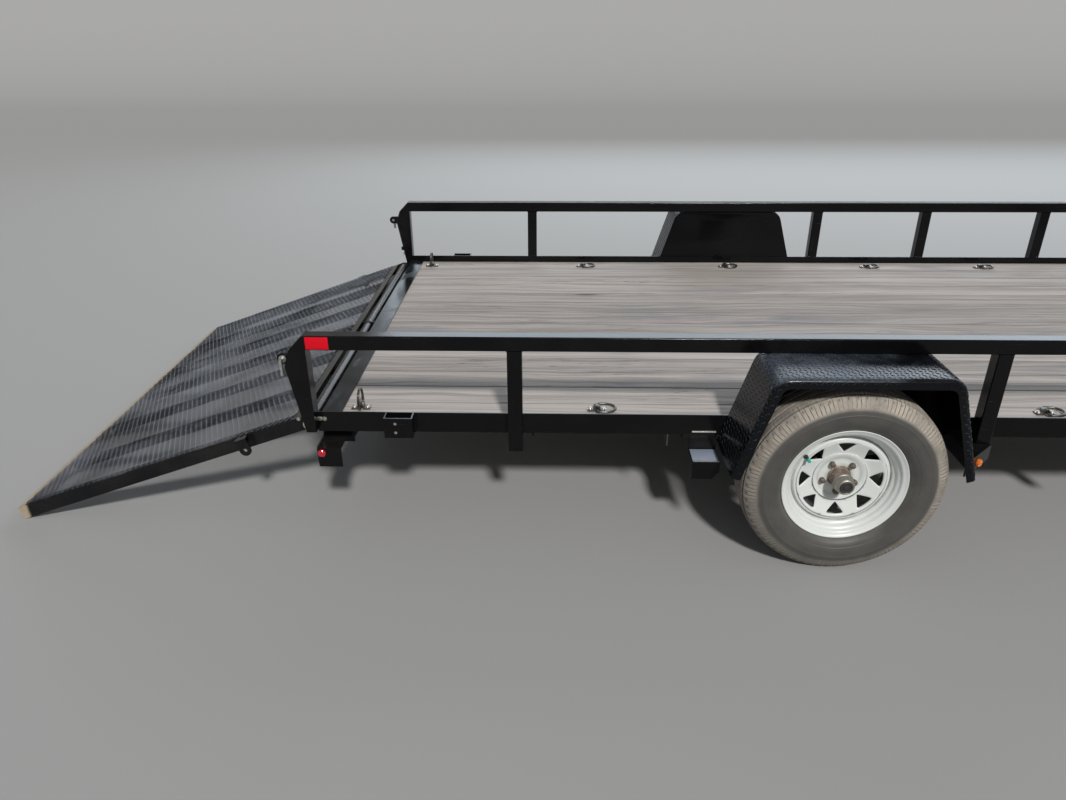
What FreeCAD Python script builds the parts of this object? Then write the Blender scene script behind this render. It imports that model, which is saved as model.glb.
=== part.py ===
# Single-axle utility trailer: steel angle frame, wood deck, square-tube rails and a mesh ramp gate.
# Millimetres and degrees. X points forward, in the direction of towing, Y to the left and Z up.
# The origin is on the ground, midway between the coupler's nose and the lowered ramp's tip.
import FreeCAD, Part
import math
import os
import re
from types import SimpleNamespace
import Sketcher

V = FreeCAD.Vector
X_AXIS = V(1, 0, 0)
Y_AXIS = V(0, 1, 0)
Z_AXIS = V(0, 0, 1)

# Driving sizes: name, value
SIZES = (
    # bed and frame: a frame of steel angle with the rails outside it
    ("bed_len", 4267), ("bed_wid", 2108), ("ride", 79),
    ("frame_tall", 76.2), ("frame_leg", 50.8), ("angle_thick", 4.8),
    ("tube", 50.8), ("tube_wall", 3.2), ("tube_round", 5),
    # sill at the rear and member at the front
    ("sill_deep", 46), ("sill_flange", 72), ("sill_lip", 5),
    # crossmembers
    ("cross_tall", 50.8), ("cross_leg", 60), ("cross_rear", 700), ("cross_behind", 567), ("cross_under", 33),
    ("cross_ahead", 500), ("tongue_stand", 17),
    # deck boards
    ("board_thick", 38), ("board_count", 14), ("board_gap", 2.6), ("board_side_gap", 4),
    ("board_end_gap", 1),
    # uprights between rear post and axle, and ahead of the fender
    ("upright_rear", 677), ("upright_ahead", 85),
    # rear posts
    ("post_front", 8), ("post_top_back", 49), ("post_wide_back", 70), ("post_wide_down", 109),
    ("post_foot_back", 26), ("post_foot_rise", 21),
    # latch tab on the post and lug on the ramp
    ("stop_rise", 107), ("stop_tall", 20), ("stop_deep", 28),
    ("tab_back", 88), ("tab_down", 99), ("tab_r", 20), ("tab_thick", 7), ("latch_hole_r", 7.5),
    ("latch_drop", 20), ("lug_thick", 6), ("lug_r", 22), ("latch_side_gap", 7),
    ("pin_r", 6.3), ("pin_drop", 52), ("pin_past", 1.5),
    ("pin_out", 22), ("collar_long", 4), ("collar_wide", 5),
    # ramp and hinge
    ("ramp_len", 1250), ("ramp_side_gap", 38.2), ("ramp_rail_tall", 50.8), ("ramp_rail_leg", 38.1),
    ("hinge_back", 38), ("hinge_rise", 19), ("hinge_tube_r", 21), ("hinge_rod_r", 8),
    ("rod_head_tall", 8), ("rod_head_wide", 5),
    ("hinge_clear", 0.08), ("ear_thick", 12), ("ear_gap", 7), ("mesh_thick", 3),
    ("mesh_start", 64), ("mesh_end", 28), ("heel_start", 26), ("arm_wid", 8), ("arm_tall", 24),
    ("ramp_bar", 32), ("ramp_bar_count", 5), ("hole_rows", 6), ("hole_bar", 22),
    # axle, springs and wheels
    ("axle_place", 1800), ("tyre_od", 680), ("tyre_wid", 205), ("tyre_gap", 24),
    ("axle_tube_r", 30), ("axle_drop", 100), ("axle_side", 32), ("spindle_r", 22), ("hub_r", 34),
    ("hub_flange_r", 70), ("hub_flange_in", 6), ("hub_face", 6.7), ("hub_back_lip", 6), ("hub_start", 5),
    ("hub_out", 62), ("cap_out", 95), ("cap_taper", 6), ("cap_round", 14), ("cap_room", 44),
    ("tread_half", 66), ("shoulder_in", 14), ("shoulder_deep", 18), ("tread_thick", 15), ("bead_wid", 16),
    ("spring_wid", 44.5), ("spring_half", 320), ("eye_down", 69),
    ("leaf_thick", 7), ("leaf_count", 4), ("eye_r", 14), ("shackle_r", 7), ("hanger_thick", 6),
    ("hanger_gap", 1), ("shackle_past", 5), ("seat_len", 90), ("seat_thick", 10), ("seat_sunk", 4),
    ("spindle_past", 40), ("stub_past", 2),
    ("hanger_half_top", 34), ("hanger_half_low", 20),
    ("rim_flange_r", 208), ("rim_seat_r", 190.3), ("rim_well_r", 168), ("rim_half", 80),
    ("rim_thick", 3.5), ("rim_ledge", 22), ("well_near", 38), ("well_far", 70), ("crown_in", 38),
    ("crown_wid", 22), ("skirt_in", 20), ("disc_foot_r", 92), ("disc_foot_in", 20), ("ridge_r", 78),
    ("ridge_in", 24), ("pad_r", 70), ("pad_in", 12), ("disc_thick", 5), ("disc_overlap", 0.5),
    ("bead_gap", 0.3), ("window_count", 8), ("window_r", 124), ("window_half", 21.5),
    ("window_out", 8), ("window_in", 15), ("window_round", 5), ("stud_turn", 50),
    ("stud_count", 5), ("stud_circle_r", 57.15), ("stud_hole_r", 8),
    # fenders
    ("fender_wid", 205), ("fender_sheet", 3), ("fender_lip", 32), ("fender_down", 21),
    ("fender_room", 68.2), ("fender_past", 52), ("fender_slope", 108), ("fender_round", 62),
    # brackets that carry the fenders' ends
    ("step_wid", 95), ("step_down", 59), ("step_out", 91), ("step_lip", 68), ("step_sheet", 5),
    ("step_cut", 24), ("step_cut_up", 30), ("gusset_out", 122), ("gusset_lip", 56), ("weld_gap", 0.3),
    # stake pockets, tie-down rings
    ("pocket_len", 100), ("pocket_deep", 48), ("pocket_wall", 5), ("pocket_place", 295),
    ("ring_in", 150), ("ring_rear", 134), ("ring_front", 207), ("ring_r", 34), ("ring_wire_r", 6),
    ("ring_up", 3), ("ring_room", 0.3), ("clip_len", 68), ("clip_wid", 28), ("clip_thick", 5),
    ("hump_wid", 26), ("hump_tall", 21),
    # lamps
    ("lamp_box_wid", 190), ("lamp_box_deep", 84), ("lamp_box_tall", 74), ("lamp_half", 76),
    ("lamp_r", 29), ("lamp_past", 8), ("lamp_deep", 26), ("lamp_box_in", 6), ("lamp_box_wall", 4),
    ("lamp_gusset_len", 114), ("lamp_gusset_more", 30), ("marker_r", 14), ("marker_out", 12),
    ("marker_dome", 4), ("marker_face", 5), ("marker_place", 16), ("marker_down", 17),
    # tongue, coupler and jack
    ("tongue_tall", 76.2), ("tongue_wid", 50.8), ("tongue_reach", 1180), ("tongue_spread", 560),
    ("tongue_nose", 44), ("tongue_tuck", 700), ("tongue_wall", 5), ("tongue_gap", 0.2),
    ("ball_r", 25.4), ("ball_clear", 0.5), ("ball_ahead", 62), ("coupler_tall", 62), ("coupler_wall", 8),
    ("coupler_back", 160), ("coupler_lap", 34), ("coupler_shoulder", 14), ("lever_len", 120),
    ("lever_wid", 16), ("lever_thick", 12), ("lever_back", 30), ("lever_eye_r", 9), ("lever_eye_len", 26),
    ("jack_back", 250), ("jack_r", 28.5), ("jack_fit", 0.3), ("jack_rise", 371), ("jack_down", 209),
    ("jack_wall", 3), ("jack_head", 30), ("jack_head_lip", 4), ("jack_collar", 14), ("jack_roof", 40),
    ("jack_plate", 8), ("plate_rear", 90), ("plate_front", 70), ("plate_lap", 20),
    ("leg_inside", 300), ("jack_foot_r", 55), ("foot_thick", 6), ("foot_cone", 18), ("foot_rim", 12),
    ("crank_stem_r", 8), ("crank_stem", 34), ("crank_up", 22), ("crank_reach", 126), ("crank_wid", 24),
    ("crank_thick", 6), ("knob_r", 11), ("knob_tall", 90),
)

doc = FreeCAD.newDocument("UtilityTrailer")
sheet = doc.addObject("Spreadsheet::Sheet", "dims")
parts = []


def workOutPlaces(s):
    """Places that follow from the driving sizes, each by one formula."""
    p = SimpleNamespace()
    p.rail_half = s.bed_wid / 2
    p.frame_half = p.rail_half - s.tube
    p.ramp_half = p.frame_half - s.ramp_side_gap
    # the axle's height sets the frame's, and the room over the tyre sets the rail's
    p.wheel_up = s.tyre_od / 2
    p.frame_under = p.wheel_up + s.ride
    p.rail_under = s.tyre_od + s.fender_room
    p.rail_top = p.rail_under + s.tube
    p.post_foot = p.frame_under + s.post_foot_rise
    p.post_wide_up = p.rail_top - s.post_wide_down
    p.stop_up = p.frame_under + s.stop_rise
    p.tab_up = p.rail_top - s.tab_down
    p.hinge_up = p.frame_under + s.hinge_rise
    p.spring_eye_up = p.frame_under - s.eye_down
    p.step_up = p.frame_under - s.step_down
    p.jack_top = p.frame_under + s.jack_rise
    p.jack_low = p.frame_under - s.jack_down
    p.fender_low = p.frame_under - s.fender_down
    p.fender_half_low = p.wheel_up + s.fender_past
    p.fender_half_top = p.fender_half_low - s.fender_slope
    p.frame_top = p.frame_under + s.frame_tall
    p.leg_top = p.frame_under + s.angle_thick
    p.leg_in = p.frame_half - s.frame_leg
    p.web_in = p.frame_half - s.angle_thick
    p.deck_top = p.leg_top + s.board_thick
    p.frame_front = s.bed_len - s.tube
    p.cross_low = p.leg_top - s.cross_tall
    p.wheel_out = p.frame_half + s.tyre_gap + s.tyre_wid / 2
    p.fender_out = p.rail_half + s.fender_wid
    # the lowered ramp's underside corner touches the ground
    reach = math.hypot(s.ramp_len, s.ramp_rail_tall / 2)
    p.ramp_fall = math.degrees(math.asin(p.hinge_up / reach) - math.atan2(s.ramp_rail_tall / 2, s.ramp_len))
    fall = math.radians(p.ramp_fall)
    p.ramp_tip = -s.hinge_back - s.ramp_len * math.cos(fall) - s.ramp_rail_tall / 2 * math.sin(fall)
    p.tongue_end = s.bed_len + s.tongue_reach
    p.tongue_rear = s.bed_len - s.tongue_tuck
    p.tongue_slope = (s.tongue_spread - s.tongue_nose) / s.tongue_reach
    p.ball_place = p.tongue_end + s.ball_ahead
    p.nose = p.ball_place + s.ball_r + s.coupler_wall
    p.shift = -(p.nose + p.ramp_tip) / 2
    # the latch holes of post and ramp meet when the ramp is closed
    latch = math.hypot(s.tab_back - s.hinge_back, p.tab_up - p.hinge_up)
    p.latch_along = math.sqrt(latch ** 2 - s.latch_drop ** 2)
    p.closed_lean = math.degrees(math.atan2(s.tab_back - s.hinge_back, p.tab_up - p.hinge_up)
                                 - math.atan2(s.latch_drop, p.latch_along))
    p.tongue_top = p.cross_low
    p.ball_up = p.tongue_top + s.coupler_tall - s.coupler_wall - s.ball_r
    # crossmembers beside the axle, two before it and the last just behind the tongue's rear ends
    p.cross_a = s.cross_rear
    p.cross_b = s.axle_place - s.cross_behind
    p.cross_c = s.axle_place - s.cross_under
    p.cross_d = s.axle_place + s.cross_ahead
    p.cross_f = p.tongue_rear - s.tongue_stand
    p.cross_e = p.cross_d + 0.48 * (p.cross_f - p.cross_d)
    # uprights: the second ahead of the fender, the next two spread to the front
    p.upright_a = s.upright_rear
    p.upright_b = s.axle_place + p.fender_half_low + s.upright_ahead
    p.upright_c = p.upright_b + 0.3094 * (p.frame_front - p.upright_b)
    p.upright_d = p.upright_b + 0.6446 * (p.frame_front - p.upright_b)
    return p


def fillSheet():
    """Write the driving sizes and the places worked out from them to the sheet."""
    row = 1
    sizes = SimpleNamespace(**dict(SIZES))
    places = workOutPlaces(sizes)
    for name, value in list(SIZES) + list(vars(places).items()):
        sheet.set("A%d" % row, name)
        sheet.set("B%d" % row, "%.6f" % value)
        sheet.setAlias("B%d" % row, name)
        row = row + 1
    doc.recompute()
    return SimpleNamespace(**dict(SIZES), **vars(places))


d = fillSheet()
NAMES = set(vars(d))


def formula(text):
    """Sheet formula for a text of plain size names."""
    def cell(found):
        word = found.group()
        return "dims." + word if word in NAMES else word
    return re.sub(r"[a-z_]+[a-z0-9_]*", cell, str(text))


def number(text):
    """Present value of such a text."""
    if isinstance(text, (int, float)):
        return float(text)
    total = text
    for name in sorted(NAMES, key=len, reverse=True):
        total = re.sub(r"\b%s\b" % name, repr(float(getattr(d, name))), total)
    return float(FreeCAD.Units.Quantity("(" + total + ") * 1 mm").Value)


def bind(thing, prop, text):
    thing.setExpression(prop, formula(text))


def place(thing, x, y, z):
    """Put a thing at x behind or ahead of the bed's rear end, y and z."""
    bind(thing, "Placement.Base.x", "shift + (%s)" % x)
    bind(thing, "Placement.Base.y", y)
    bind(thing, "Placement.Base.z", z)


def box(name, xs, ys, zs):
    """Box between two limits on each axis, given as pairs of formulas."""
    thing = doc.addObject("Part::Box", name)
    bind(thing, "Length", "(%s) - (%s)" % (xs[1], xs[0]))
    bind(thing, "Width", "(%s) - (%s)" % (ys[1], ys[0]))
    bind(thing, "Height", "(%s) - (%s)" % (zs[1], zs[0]))
    place(thing, xs[0], ys[0], zs[0])
    return thing


def rod(name, radius, length, at, axis):
    """Cylinder from a point along an axis."""
    thing = doc.addObject("Part::Cylinder", name)
    bind(thing, "Radius", radius)
    bind(thing, "Height", length)
    thing.Placement = FreeCAD.Placement(V(0, 0, 0), FreeCAD.Rotation(Z_AXIS, axis))
    place(thing, *at)
    return thing


def join(name, things):
    thing = doc.addObject("Part::MultiFuse", name)
    thing.Shapes = things
    return thing


def cutFrom(name, base, tool):
    thing = doc.addObject("Part::Cut", name)
    thing.Base = base
    thing.Tool = tool
    return thing


def mirrored(name, source):
    """Copy of a thing on the other side of the trailer's middle plane."""
    thing = doc.addObject("Part::Mirroring", name)
    thing.Source = source
    thing.Normal = Y_AXIS
    return thing


def group(name, things):
    thing = doc.addObject("Part::Compound", name)
    thing.Links = things
    return thing


def keep(thing, label):
    """Mark a thing as a sub-part of the trailer."""
    thing.Label = label
    parts.append(thing)
    return thing


def feature(name, shape):
    """A shape made with Part's own functions, in the bed's own place, moved to the trailer's."""
    thing = doc.addObject("Part::Feature", name)
    thing.Shape = shape
    thing.Placement = FreeCAD.Placement(V(d.shift, 0, 0), FreeCAD.Rotation()) * shape.Placement
    return thing


def profile(name, plane, outline, length, at, hole=None, rounded=None):
    """Body with one padded outline: plane is XY, XZ or YZ, and points are pairs of formulas."""
    body = doc.addObject("PartDesign::Body", name)
    sketch = body.newObject("Sketcher::SketchObject", name + "_outline")
    origin = [f for f in body.Origin.OriginFeatures if getattr(f, "Role", "") == plane + "_Plane"][0]
    sketch.AttachmentSupport = [(origin, "")]
    sketch.MapMode = "FlatFace"
    for points in [outline] + ([hole] if hole else []):
        first = sketch.GeometryCount
        count = len(points)
        spots = [V(number(a), number(b), 0) for a, b in points]
        for i, spot in enumerate(spots):
            sketch.addGeometry(Part.LineSegment(spot, spots[(i + 1) % count]), False)
        for i in range(count):
            sketch.addConstraint(Sketcher.Constraint("Coincident", first + i, 2, first + (i + 1) % count, 1))
        for i, pair in enumerate(points):
            setPlace(sketch, first + i, "DistanceX", -2, pair[0], spots[i].x)
            setPlace(sketch, first + i, "DistanceY", -1, pair[1], spots[i].y)
    pad = body.newObject("PartDesign::Pad", name + "_pad")
    pad.Profile = sketch
    bind(pad, "Length", length)
    if plane == "XZ":
        pad.Reversed = True
    if rounded:
        roundCorners(body, pad, plane, rounded)
    place(body, *at)
    return body


def roundCorners(body, pad, plane, radius):
    """Fillet the four long outer edges of a padded rectangle."""
    doc.recompute()
    limits = pad.Shape.BoundBox
    spans = {"X": (limits.XMin, limits.XMax), "Y": (limits.YMin, limits.YMax), "Z": (limits.ZMin, limits.ZMax)}
    names = []
    for i, edge in enumerate(pad.Shape.Edges):
        ends = [v.Point for v in edge.Vertexes]
        outer = True
        for axis in plane:
            values = [getattr(p, axis.lower()) for p in ends]
            outer = outer and max(values) - min(values) < 1e-6
            outer = outer and min(abs(values[0] - span) for span in spans[axis]) < 1e-6
        if outer:
            names.append("Edge%d" % (i + 1))
    fillet = body.newObject("PartDesign::Fillet", pad.Name + "_round")
    fillet.Base = (pad, names)
    bind(fillet, "Radius", radius)
    body.Tip = fillet


def setPlace(sketch, line, kind, axis, text, value):
    """Hold the start of a sketch's line at a formula's distance from the origin along one axis."""
    if abs(value) < 1e-9:
        sketch.addConstraint(Sketcher.Constraint("PointOnObject", line, 1, axis))
    else:
        index = sketch.addConstraint(Sketcher.Constraint(kind, -1, 1, line, 1, value))
        sketch.setExpression("Constraints[%d]" % index, formula(text))


def frameSides():
    """Main frame sides: angle with its wide leg upright outside and its short leg under the boards."""
    outline = [("0 - frame_half", "frame_under"), ("0 - leg_in", "frame_under"), ("0 - leg_in", "leg_top"),
               ("0 - web_in", "leg_top"), ("0 - web_in", "frame_top"), ("0 - frame_half", "frame_top")]
    right = profile("frame_right", "YZ", outline, "bed_len", (0, 0, 0))
    keep(right, "frame_side_right")
    keep(mirrored("frame_left", right), "frame_side_left")


def endMembers():
    """Rear sill and front member: an upright web with a flange over the boards' ends and one below them."""
    for label, face, inward in (("rear_sill", "0", 1), ("front_member", "frame_front", -1)):
        def along(deep):
            near = face
            far = "%s + %d * (%s)" % (face, inward, deep)
            return (near, far) if inward > 0 else (far, near)
        web_low = box(label + "_web_low", along("angle_thick"), ("0 - leg_in", "leg_in"),
                      ("cross_low", "leg_top"))
        web = box(label + "_web", along("angle_thick"), ("0 - web_in", "web_in"),
                  ("leg_top", "deck_top + sill_lip"))
        flange = box(label + "_flange", along("sill_flange"), ("0 - web_in", "web_in"),
                     ("deck_top + 0.3", "deck_top + sill_lip"))
        shelf = box(label + "_shelf", along("sill_deep"), ("0 - leg_in", "leg_in"), ("frame_under", "leg_top"))
        pieces = [web_low, web, flange, shelf]
        if label == "rear_sill":
            pieces = pieces + hingeEars()
        keep(join(label + "_all", pieces), label)


def hingeEars():
    """Three ears on the rear sill, bored for the hinge rod."""
    ears = []
    spots = ("0 - ramp_half - ear_gap - ear_thick", "0 - ear_thick / 2", "ramp_half + ear_gap")
    for i, spot in enumerate(spots):
        end = "(%s) + ear_thick" % spot
        plate = box("ear_plate_%d" % i, ("0 - hinge_back", "0"), (spot, end),
                    ("hinge_up - hinge_tube_r", "hinge_up + hinge_tube_r"))
        eye = rod("ear_eye_%d" % i, "hinge_tube_r", "ear_thick", ("0 - hinge_back", spot, "hinge_up"), Y_AXIS)
        bore = rod("ear_bore_%d" % i, "hinge_rod_r", "ear_thick", ("0 - hinge_back", spot, "hinge_up"), Y_AXIS)
        ears.append(cutFrom("ear_%d" % i, join("ear_solid_%d" % i, [plate, eye]), bore))
    return ears


CROSS_PLACES = ("cross_a", "cross_b", "cross_c", "cross_d", "cross_e", "cross_f")


def crossmembers():
    """Angles across the bed: the level leg butts between the frame's legs, the web passes under them."""
    bars = []
    for i, web_rear in enumerate(CROSS_PLACES):
        leg = box("cross_leg_%d" % i, (web_rear, "%s + cross_leg" % web_rear), ("0 - leg_in", "leg_in"),
                  ("frame_under", "leg_top"))
        web = box("cross_web_%d" % i, (web_rear, "%s + angle_thick" % web_rear), ("0 - leg_in", "leg_in"),
                  ("cross_low", "leg_top"))
        ends = box("cross_ends_%d" % i, (web_rear, "%s + angle_thick" % web_rear),
                   ("0 - frame_half", "frame_half"), ("cross_low", "frame_under"))
        bars.append(join("cross_%d" % i, [leg, web, ends]))
    keep(group("cross_all", bars), "crossmembers")


def deck():
    """Boards lengthwise, evenly spaced between the frame's sides."""
    boards = []
    count = int(d.board_count)
    width = "(2 * (web_in - board_side_gap) - (board_count - 1) * board_gap) / board_count"
    for i in range(count):
        start = "board_side_gap - web_in + %d * ((%s) + board_gap)" % (i, width)
        along = ("angle_thick + board_end_gap", "frame_front - angle_thick - board_end_gap")
        boards.append(box("board_%d" % i, along, (start, "%s + %s" % (start, width)), ("leg_top", "deck_top")))
    keep(group("boards", boards), "deck_boards")


def tubeUp(name, x, y, low, high):
    """Upright square tube with its rear right corner at x, y."""
    outer = [("0", "0"), ("tube", "0"), ("tube", "tube"), ("0", "tube")]
    inner = [("tube_wall", "tube_wall"), ("tube - tube_wall", "tube_wall"),
             ("tube - tube_wall", "tube - tube_wall"), ("tube_wall", "tube - tube_wall")]
    return profile(name, "XY", outer, "(%s) - (%s)" % (high, low), (x, y, low), inner, "tube_round")


UPRIGHT_PLACES = ("upright_a", "upright_b", "upright_c", "upright_d")


def uprights():
    """Square tubes outside the frame's sides, up to the rails, and two at the front."""
    right = []
    for i, rear in enumerate(UPRIGHT_PLACES):
        right.append(tubeUp("upright_%d" % i, rear, "0 - rail_half", "cross_low", "rail_under"))
    right.append(tubeUp("upright_corner", "frame_front", "0 - rail_half", "cross_low", "rail_under"))
    side = group("uprights_right_all", right)
    keep(side, "uprights_right")
    keep(mirrored("uprights_left_all", side), "uprights_left")
    front = []
    for i, share in enumerate((-1, 1)):
        corner = "%d * frame_half / 3 - tube / 2" % share
        front.append(tubeUp("front_upright_%d" % i, "frame_front", corner, "cross_low", "rail_under"))
    keep(group("uprights_front_all", front), "uprights_front")


def rails():
    """Square-tube top rails along both sides and across the front."""
    outer = [("0 - rail_half", "rail_under"), ("0 - frame_half", "rail_under"),
             ("0 - frame_half", "rail_top"), ("0 - rail_half", "rail_top")]
    inner = [("tube_wall - rail_half", "rail_under + tube_wall"),
             ("0 - frame_half - tube_wall", "rail_under + tube_wall"),
             ("0 - frame_half - tube_wall", "rail_top - tube_wall"),
             ("tube_wall - rail_half", "rail_top - tube_wall")]
    at = ("post_front", 0, 0)
    right = profile("rail_right", "YZ", outer, "bed_len - post_front", at, inner, "tube_round")
    keep(right, "top_rail_right")
    keep(mirrored("rail_left", right), "top_rail_left")
    outer = [("frame_front", "rail_under"), ("bed_len", "rail_under"), ("bed_len", "rail_top"),
             ("frame_front", "rail_top")]
    inner = [("frame_front + tube_wall", "rail_under + tube_wall"),
             ("bed_len - tube_wall", "rail_under + tube_wall"),
             ("bed_len - tube_wall", "rail_top - tube_wall"),
             ("frame_front + tube_wall", "rail_top - tube_wall")]
    front = profile("rail_front", "XZ", outer, "2 * frame_half", (0, "0 - frame_half", 0), inner, "tube_round")
    keep(front, "top_rail_front")


def rearPosts():
    """Tapered corner posts with a cut top corner, a latch tab and a small stop block."""
    outline = [("post_front", "post_foot"), ("post_front", "rail_top"), ("0", "rail_top"),
               ("0 - post_top_back", "rail_under + 1"), ("0 - post_wide_back", "post_wide_up"),
               ("0 - post_foot_back", "post_foot")]
    post = profile("post_right", "XZ", outline, "tube", (0, "0 - rail_half", 0))
    inner_face = "0 - frame_half"
    outer_side = "0 - frame_half - tab_thick"
    plate = box("tab_plate", ("0 - tab_back", "0 - post_top_back"), (outer_side, inner_face),
                ("tab_up - tab_r", "tab_up + tab_r"))
    eye = rod("tab_eye", "tab_r", "tab_thick", ("0 - tab_back", outer_side, "tab_up"), Y_AXIS)
    block = box("stop_block", ("0 - post_foot_back - stop_deep", "0 - post_foot_back"),
                (outer_side, inner_face), ("stop_up", "stop_up + stop_tall"))
    bore = rod("tab_bore", "latch_hole_r", "tube", ("0 - tab_back", "0 - rail_half", "tab_up"), Y_AXIS)
    right = cutFrom("post_right_all", join("post_right_solid", [post, plate, eye, block]), bore)
    keep(right, "rear_post_right")
    keep(mirrored("post_left_all", right), "rear_post_left")


def latchPins():
    """Bent pins kept in the latch tabs, each with a shank across and a handle hanging down."""
    corner_y = -(d.frame_half + d.tab_thick + d.pin_out)
    corner = V(-d.tab_back, corner_y, d.tab_up)
    shank_end = corner + V(0, d.tab_thick + d.pin_out + d.pin_past, 0)
    bar = pipe([shank_end, corner, corner - V(0, 0, d.pin_drop)], d.pin_r)
    collar_foot = V(-d.tab_back, -(d.frame_half + d.tab_thick + d.collar_long), d.tab_up)
    collar = Part.makeCylinder(d.latch_hole_r + d.collar_wide, d.collar_long, collar_foot, Y_AXIS)
    right = feature("pin_right", bar.fuse(collar).removeSplitter())
    keep(group("pins", [right, mirrored("pin_left", right)]), "latch_pins")


def pipe(points, radius):
    """Round bar along straight runs that meet in mitred corners."""
    path = Part.makePolygon(points)
    section = Part.Wire([Part.makeCircle(radius, points[0], points[1] - points[0])])
    return path.makePipeShell([section], True, False, 1)


def hingeRod():
    """Rod through the sill's ears and the ramp's tubes, with a head at each end."""
    end = "ramp_half + ear_gap + ear_thick"
    shaft = rod("rod_shaft", "hinge_rod_r", "2 * (%s)" % end,
                ("0 - hinge_back", "0 - (%s)" % end, "hinge_up"), Y_AXIS)
    heads = []
    for i, start in enumerate(("0 - (%s) - rod_head_tall" % end, end)):
        heads.append(rod("rod_head_%d" % i, "hinge_rod_r + rod_head_wide", "rod_head_tall",
                         ("0 - hinge_back", start, "hinge_up"), Y_AXIS))
    keep(join("hinge_rod_all", [shaft] + heads), "hinge_rod")


def onRamp(thing):
    """Turn a thing built level behind the hinge, with the hinge line as its Y axis, to the lowered ramp."""
    tilt = FreeCAD.Placement(V(d.shift - d.hinge_back, 0, d.hinge_up), FreeCAD.Rotation(Y_AXIS, -d.ramp_fall))
    thing.Placement = tilt
    return thing


ARM_SHARES = (0.04, 0.5, 0.96)


def ramp():
    """Ramp gate: its frame, the bars across the bay between its sides and the mesh sheet on top."""
    keep(onRamp(feature("ramp_frame_all", rampFrame())), "ramp_frame")
    keep(onRamp(feature("ramp_bars_all", Part.makeCompound(rampBars()))), "ramp_bars")
    keep(onRamp(feature("ramp_mesh_all", rampMesh())), "ramp_mesh")


def rampFrame():
    """Angle sides and tip, a heel angle over the hinge tubes, the tubes on short arms and the latch lugs."""
    half_tall = d.ramp_rail_tall / 2
    thick = d.angle_thick
    wide = 2 * (d.ramp_half - thick)
    pieces = []
    for side in (-1, 1):
        outer = side * d.ramp_half
        inner = side * (d.ramp_half - thick)
        web = Part.makeBox(d.ramp_len, thick, d.ramp_rail_tall, V(-d.ramp_len, min(outer, inner), -half_tall))
        eye = Part.makeCylinder(half_tall, thick, V(0, min(outer, inner), 0), Y_AXIS)
        leg_in = side * (d.ramp_half - d.ramp_rail_leg)
        leg = Part.makeBox(d.ramp_len - d.mesh_start, d.ramp_rail_leg, thick,
                           V(-d.ramp_len, min(outer, leg_in), half_tall - thick))
        pieces.extend([web, eye, leg, rampLug(side)])
    tip = Part.makeBox(thick, 2 * d.ramp_half, d.ramp_rail_tall, V(-d.ramp_len, -d.ramp_half, -half_tall))
    tip_leg = Part.makeBox(d.ramp_rail_leg, 2 * d.ramp_half, thick,
                           V(-d.ramp_len, -d.ramp_half, half_tall - thick))
    heel = Part.makeBox(thick, wide, d.ramp_rail_tall, V(-d.mesh_start, -wide / 2, -half_tall))
    heel_leg = Part.makeBox(d.mesh_start - d.heel_start, wide, thick,
                            V(-d.mesh_start, -wide / 2, half_tall - thick))
    pieces.extend([tip, tip_leg, heel, heel_leg])
    tube_end = d.ramp_half - thick
    tube_start = d.ear_thick / 2 + d.ear_gap
    length = tube_end - tube_start
    for start in (-tube_end, tube_start):
        pieces.append(Part.makeCylinder(d.hinge_tube_r, length, V(0, start, 0), Y_AXIS))
        for share in ARM_SHARES:
            arm = start + share * length - d.arm_wid / 2
            foot = V(-d.mesh_start, arm, -d.arm_tall / 2)
            pieces.append(Part.makeBox(d.mesh_start, d.arm_wid, d.arm_tall, foot))
    bore = Part.makeCylinder(d.hinge_rod_r + d.hinge_clear, 2 * d.ramp_half, V(0, -d.ramp_half, 0), Y_AXIS)
    return pieces[0].fuse(pieces[1:]).cut(bore).removeSplitter()


def rampBars():
    """Angle bars lengthwise under the mesh, evenly spaced."""
    under = d.ramp_rail_tall / 2 - d.angle_thick
    thick = d.angle_thick
    bars = []
    for middle in barPlaces():
        upright = Part.makeBox(d.ramp_len - d.mesh_start - 2 * thick, thick, d.ramp_bar,
                               V(thick - d.ramp_len, middle - thick / 2, under - d.ramp_bar))
        level = Part.makeBox(d.ramp_len - d.mesh_start - d.ramp_rail_leg - thick, d.ramp_bar, thick,
                             V(d.ramp_rail_leg - d.ramp_len, middle - d.ramp_bar / 2, under))
        bars.append(upright.fuse(level).removeSplitter())
    return bars


def barPlaces():
    count = int(d.ramp_bar_count)
    pitch = 2 * d.ramp_half / (count + 1)
    return [pitch * (i + 1) - d.ramp_half for i in range(count)]


def rampMesh():
    """Mesh sheet, kept to a plain grid: two openings between each pair of bars, in even rows."""
    sheet_low = d.ramp_rail_tall / 2
    sheet_len = d.ramp_len - d.mesh_start - d.mesh_end
    corner = V(d.mesh_end - d.ramp_len, -d.ramp_half, sheet_low)
    mesh = Part.makeBox(sheet_len, 2 * d.ramp_half, d.mesh_thick, corner)
    edges = [d.ramp_rail_leg - d.ramp_half]
    for middle in barPlaces():
        edges.extend([middle - d.ramp_bar / 2, middle + d.ramp_bar / 2])
    edges.append(d.ramp_half - d.ramp_rail_leg)
    row_start = d.ramp_rail_leg - d.ramp_len
    pitch = (-d.mesh_start - row_start) / d.hole_rows
    holes = []
    for low, high in zip(edges[0::2], edges[1::2]):
        hole_wid = (high - low - d.hole_bar) / 2
        for start in (low, low + hole_wid + d.hole_bar):
            for row in range(int(d.hole_rows)):
                holes.append(Part.makeBox(pitch - d.hole_bar, hole_wid, d.mesh_thick,
                                          V(row_start + row * pitch, start, sheet_low)))
    return mesh.cut(Part.makeCompound(holes))


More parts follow.
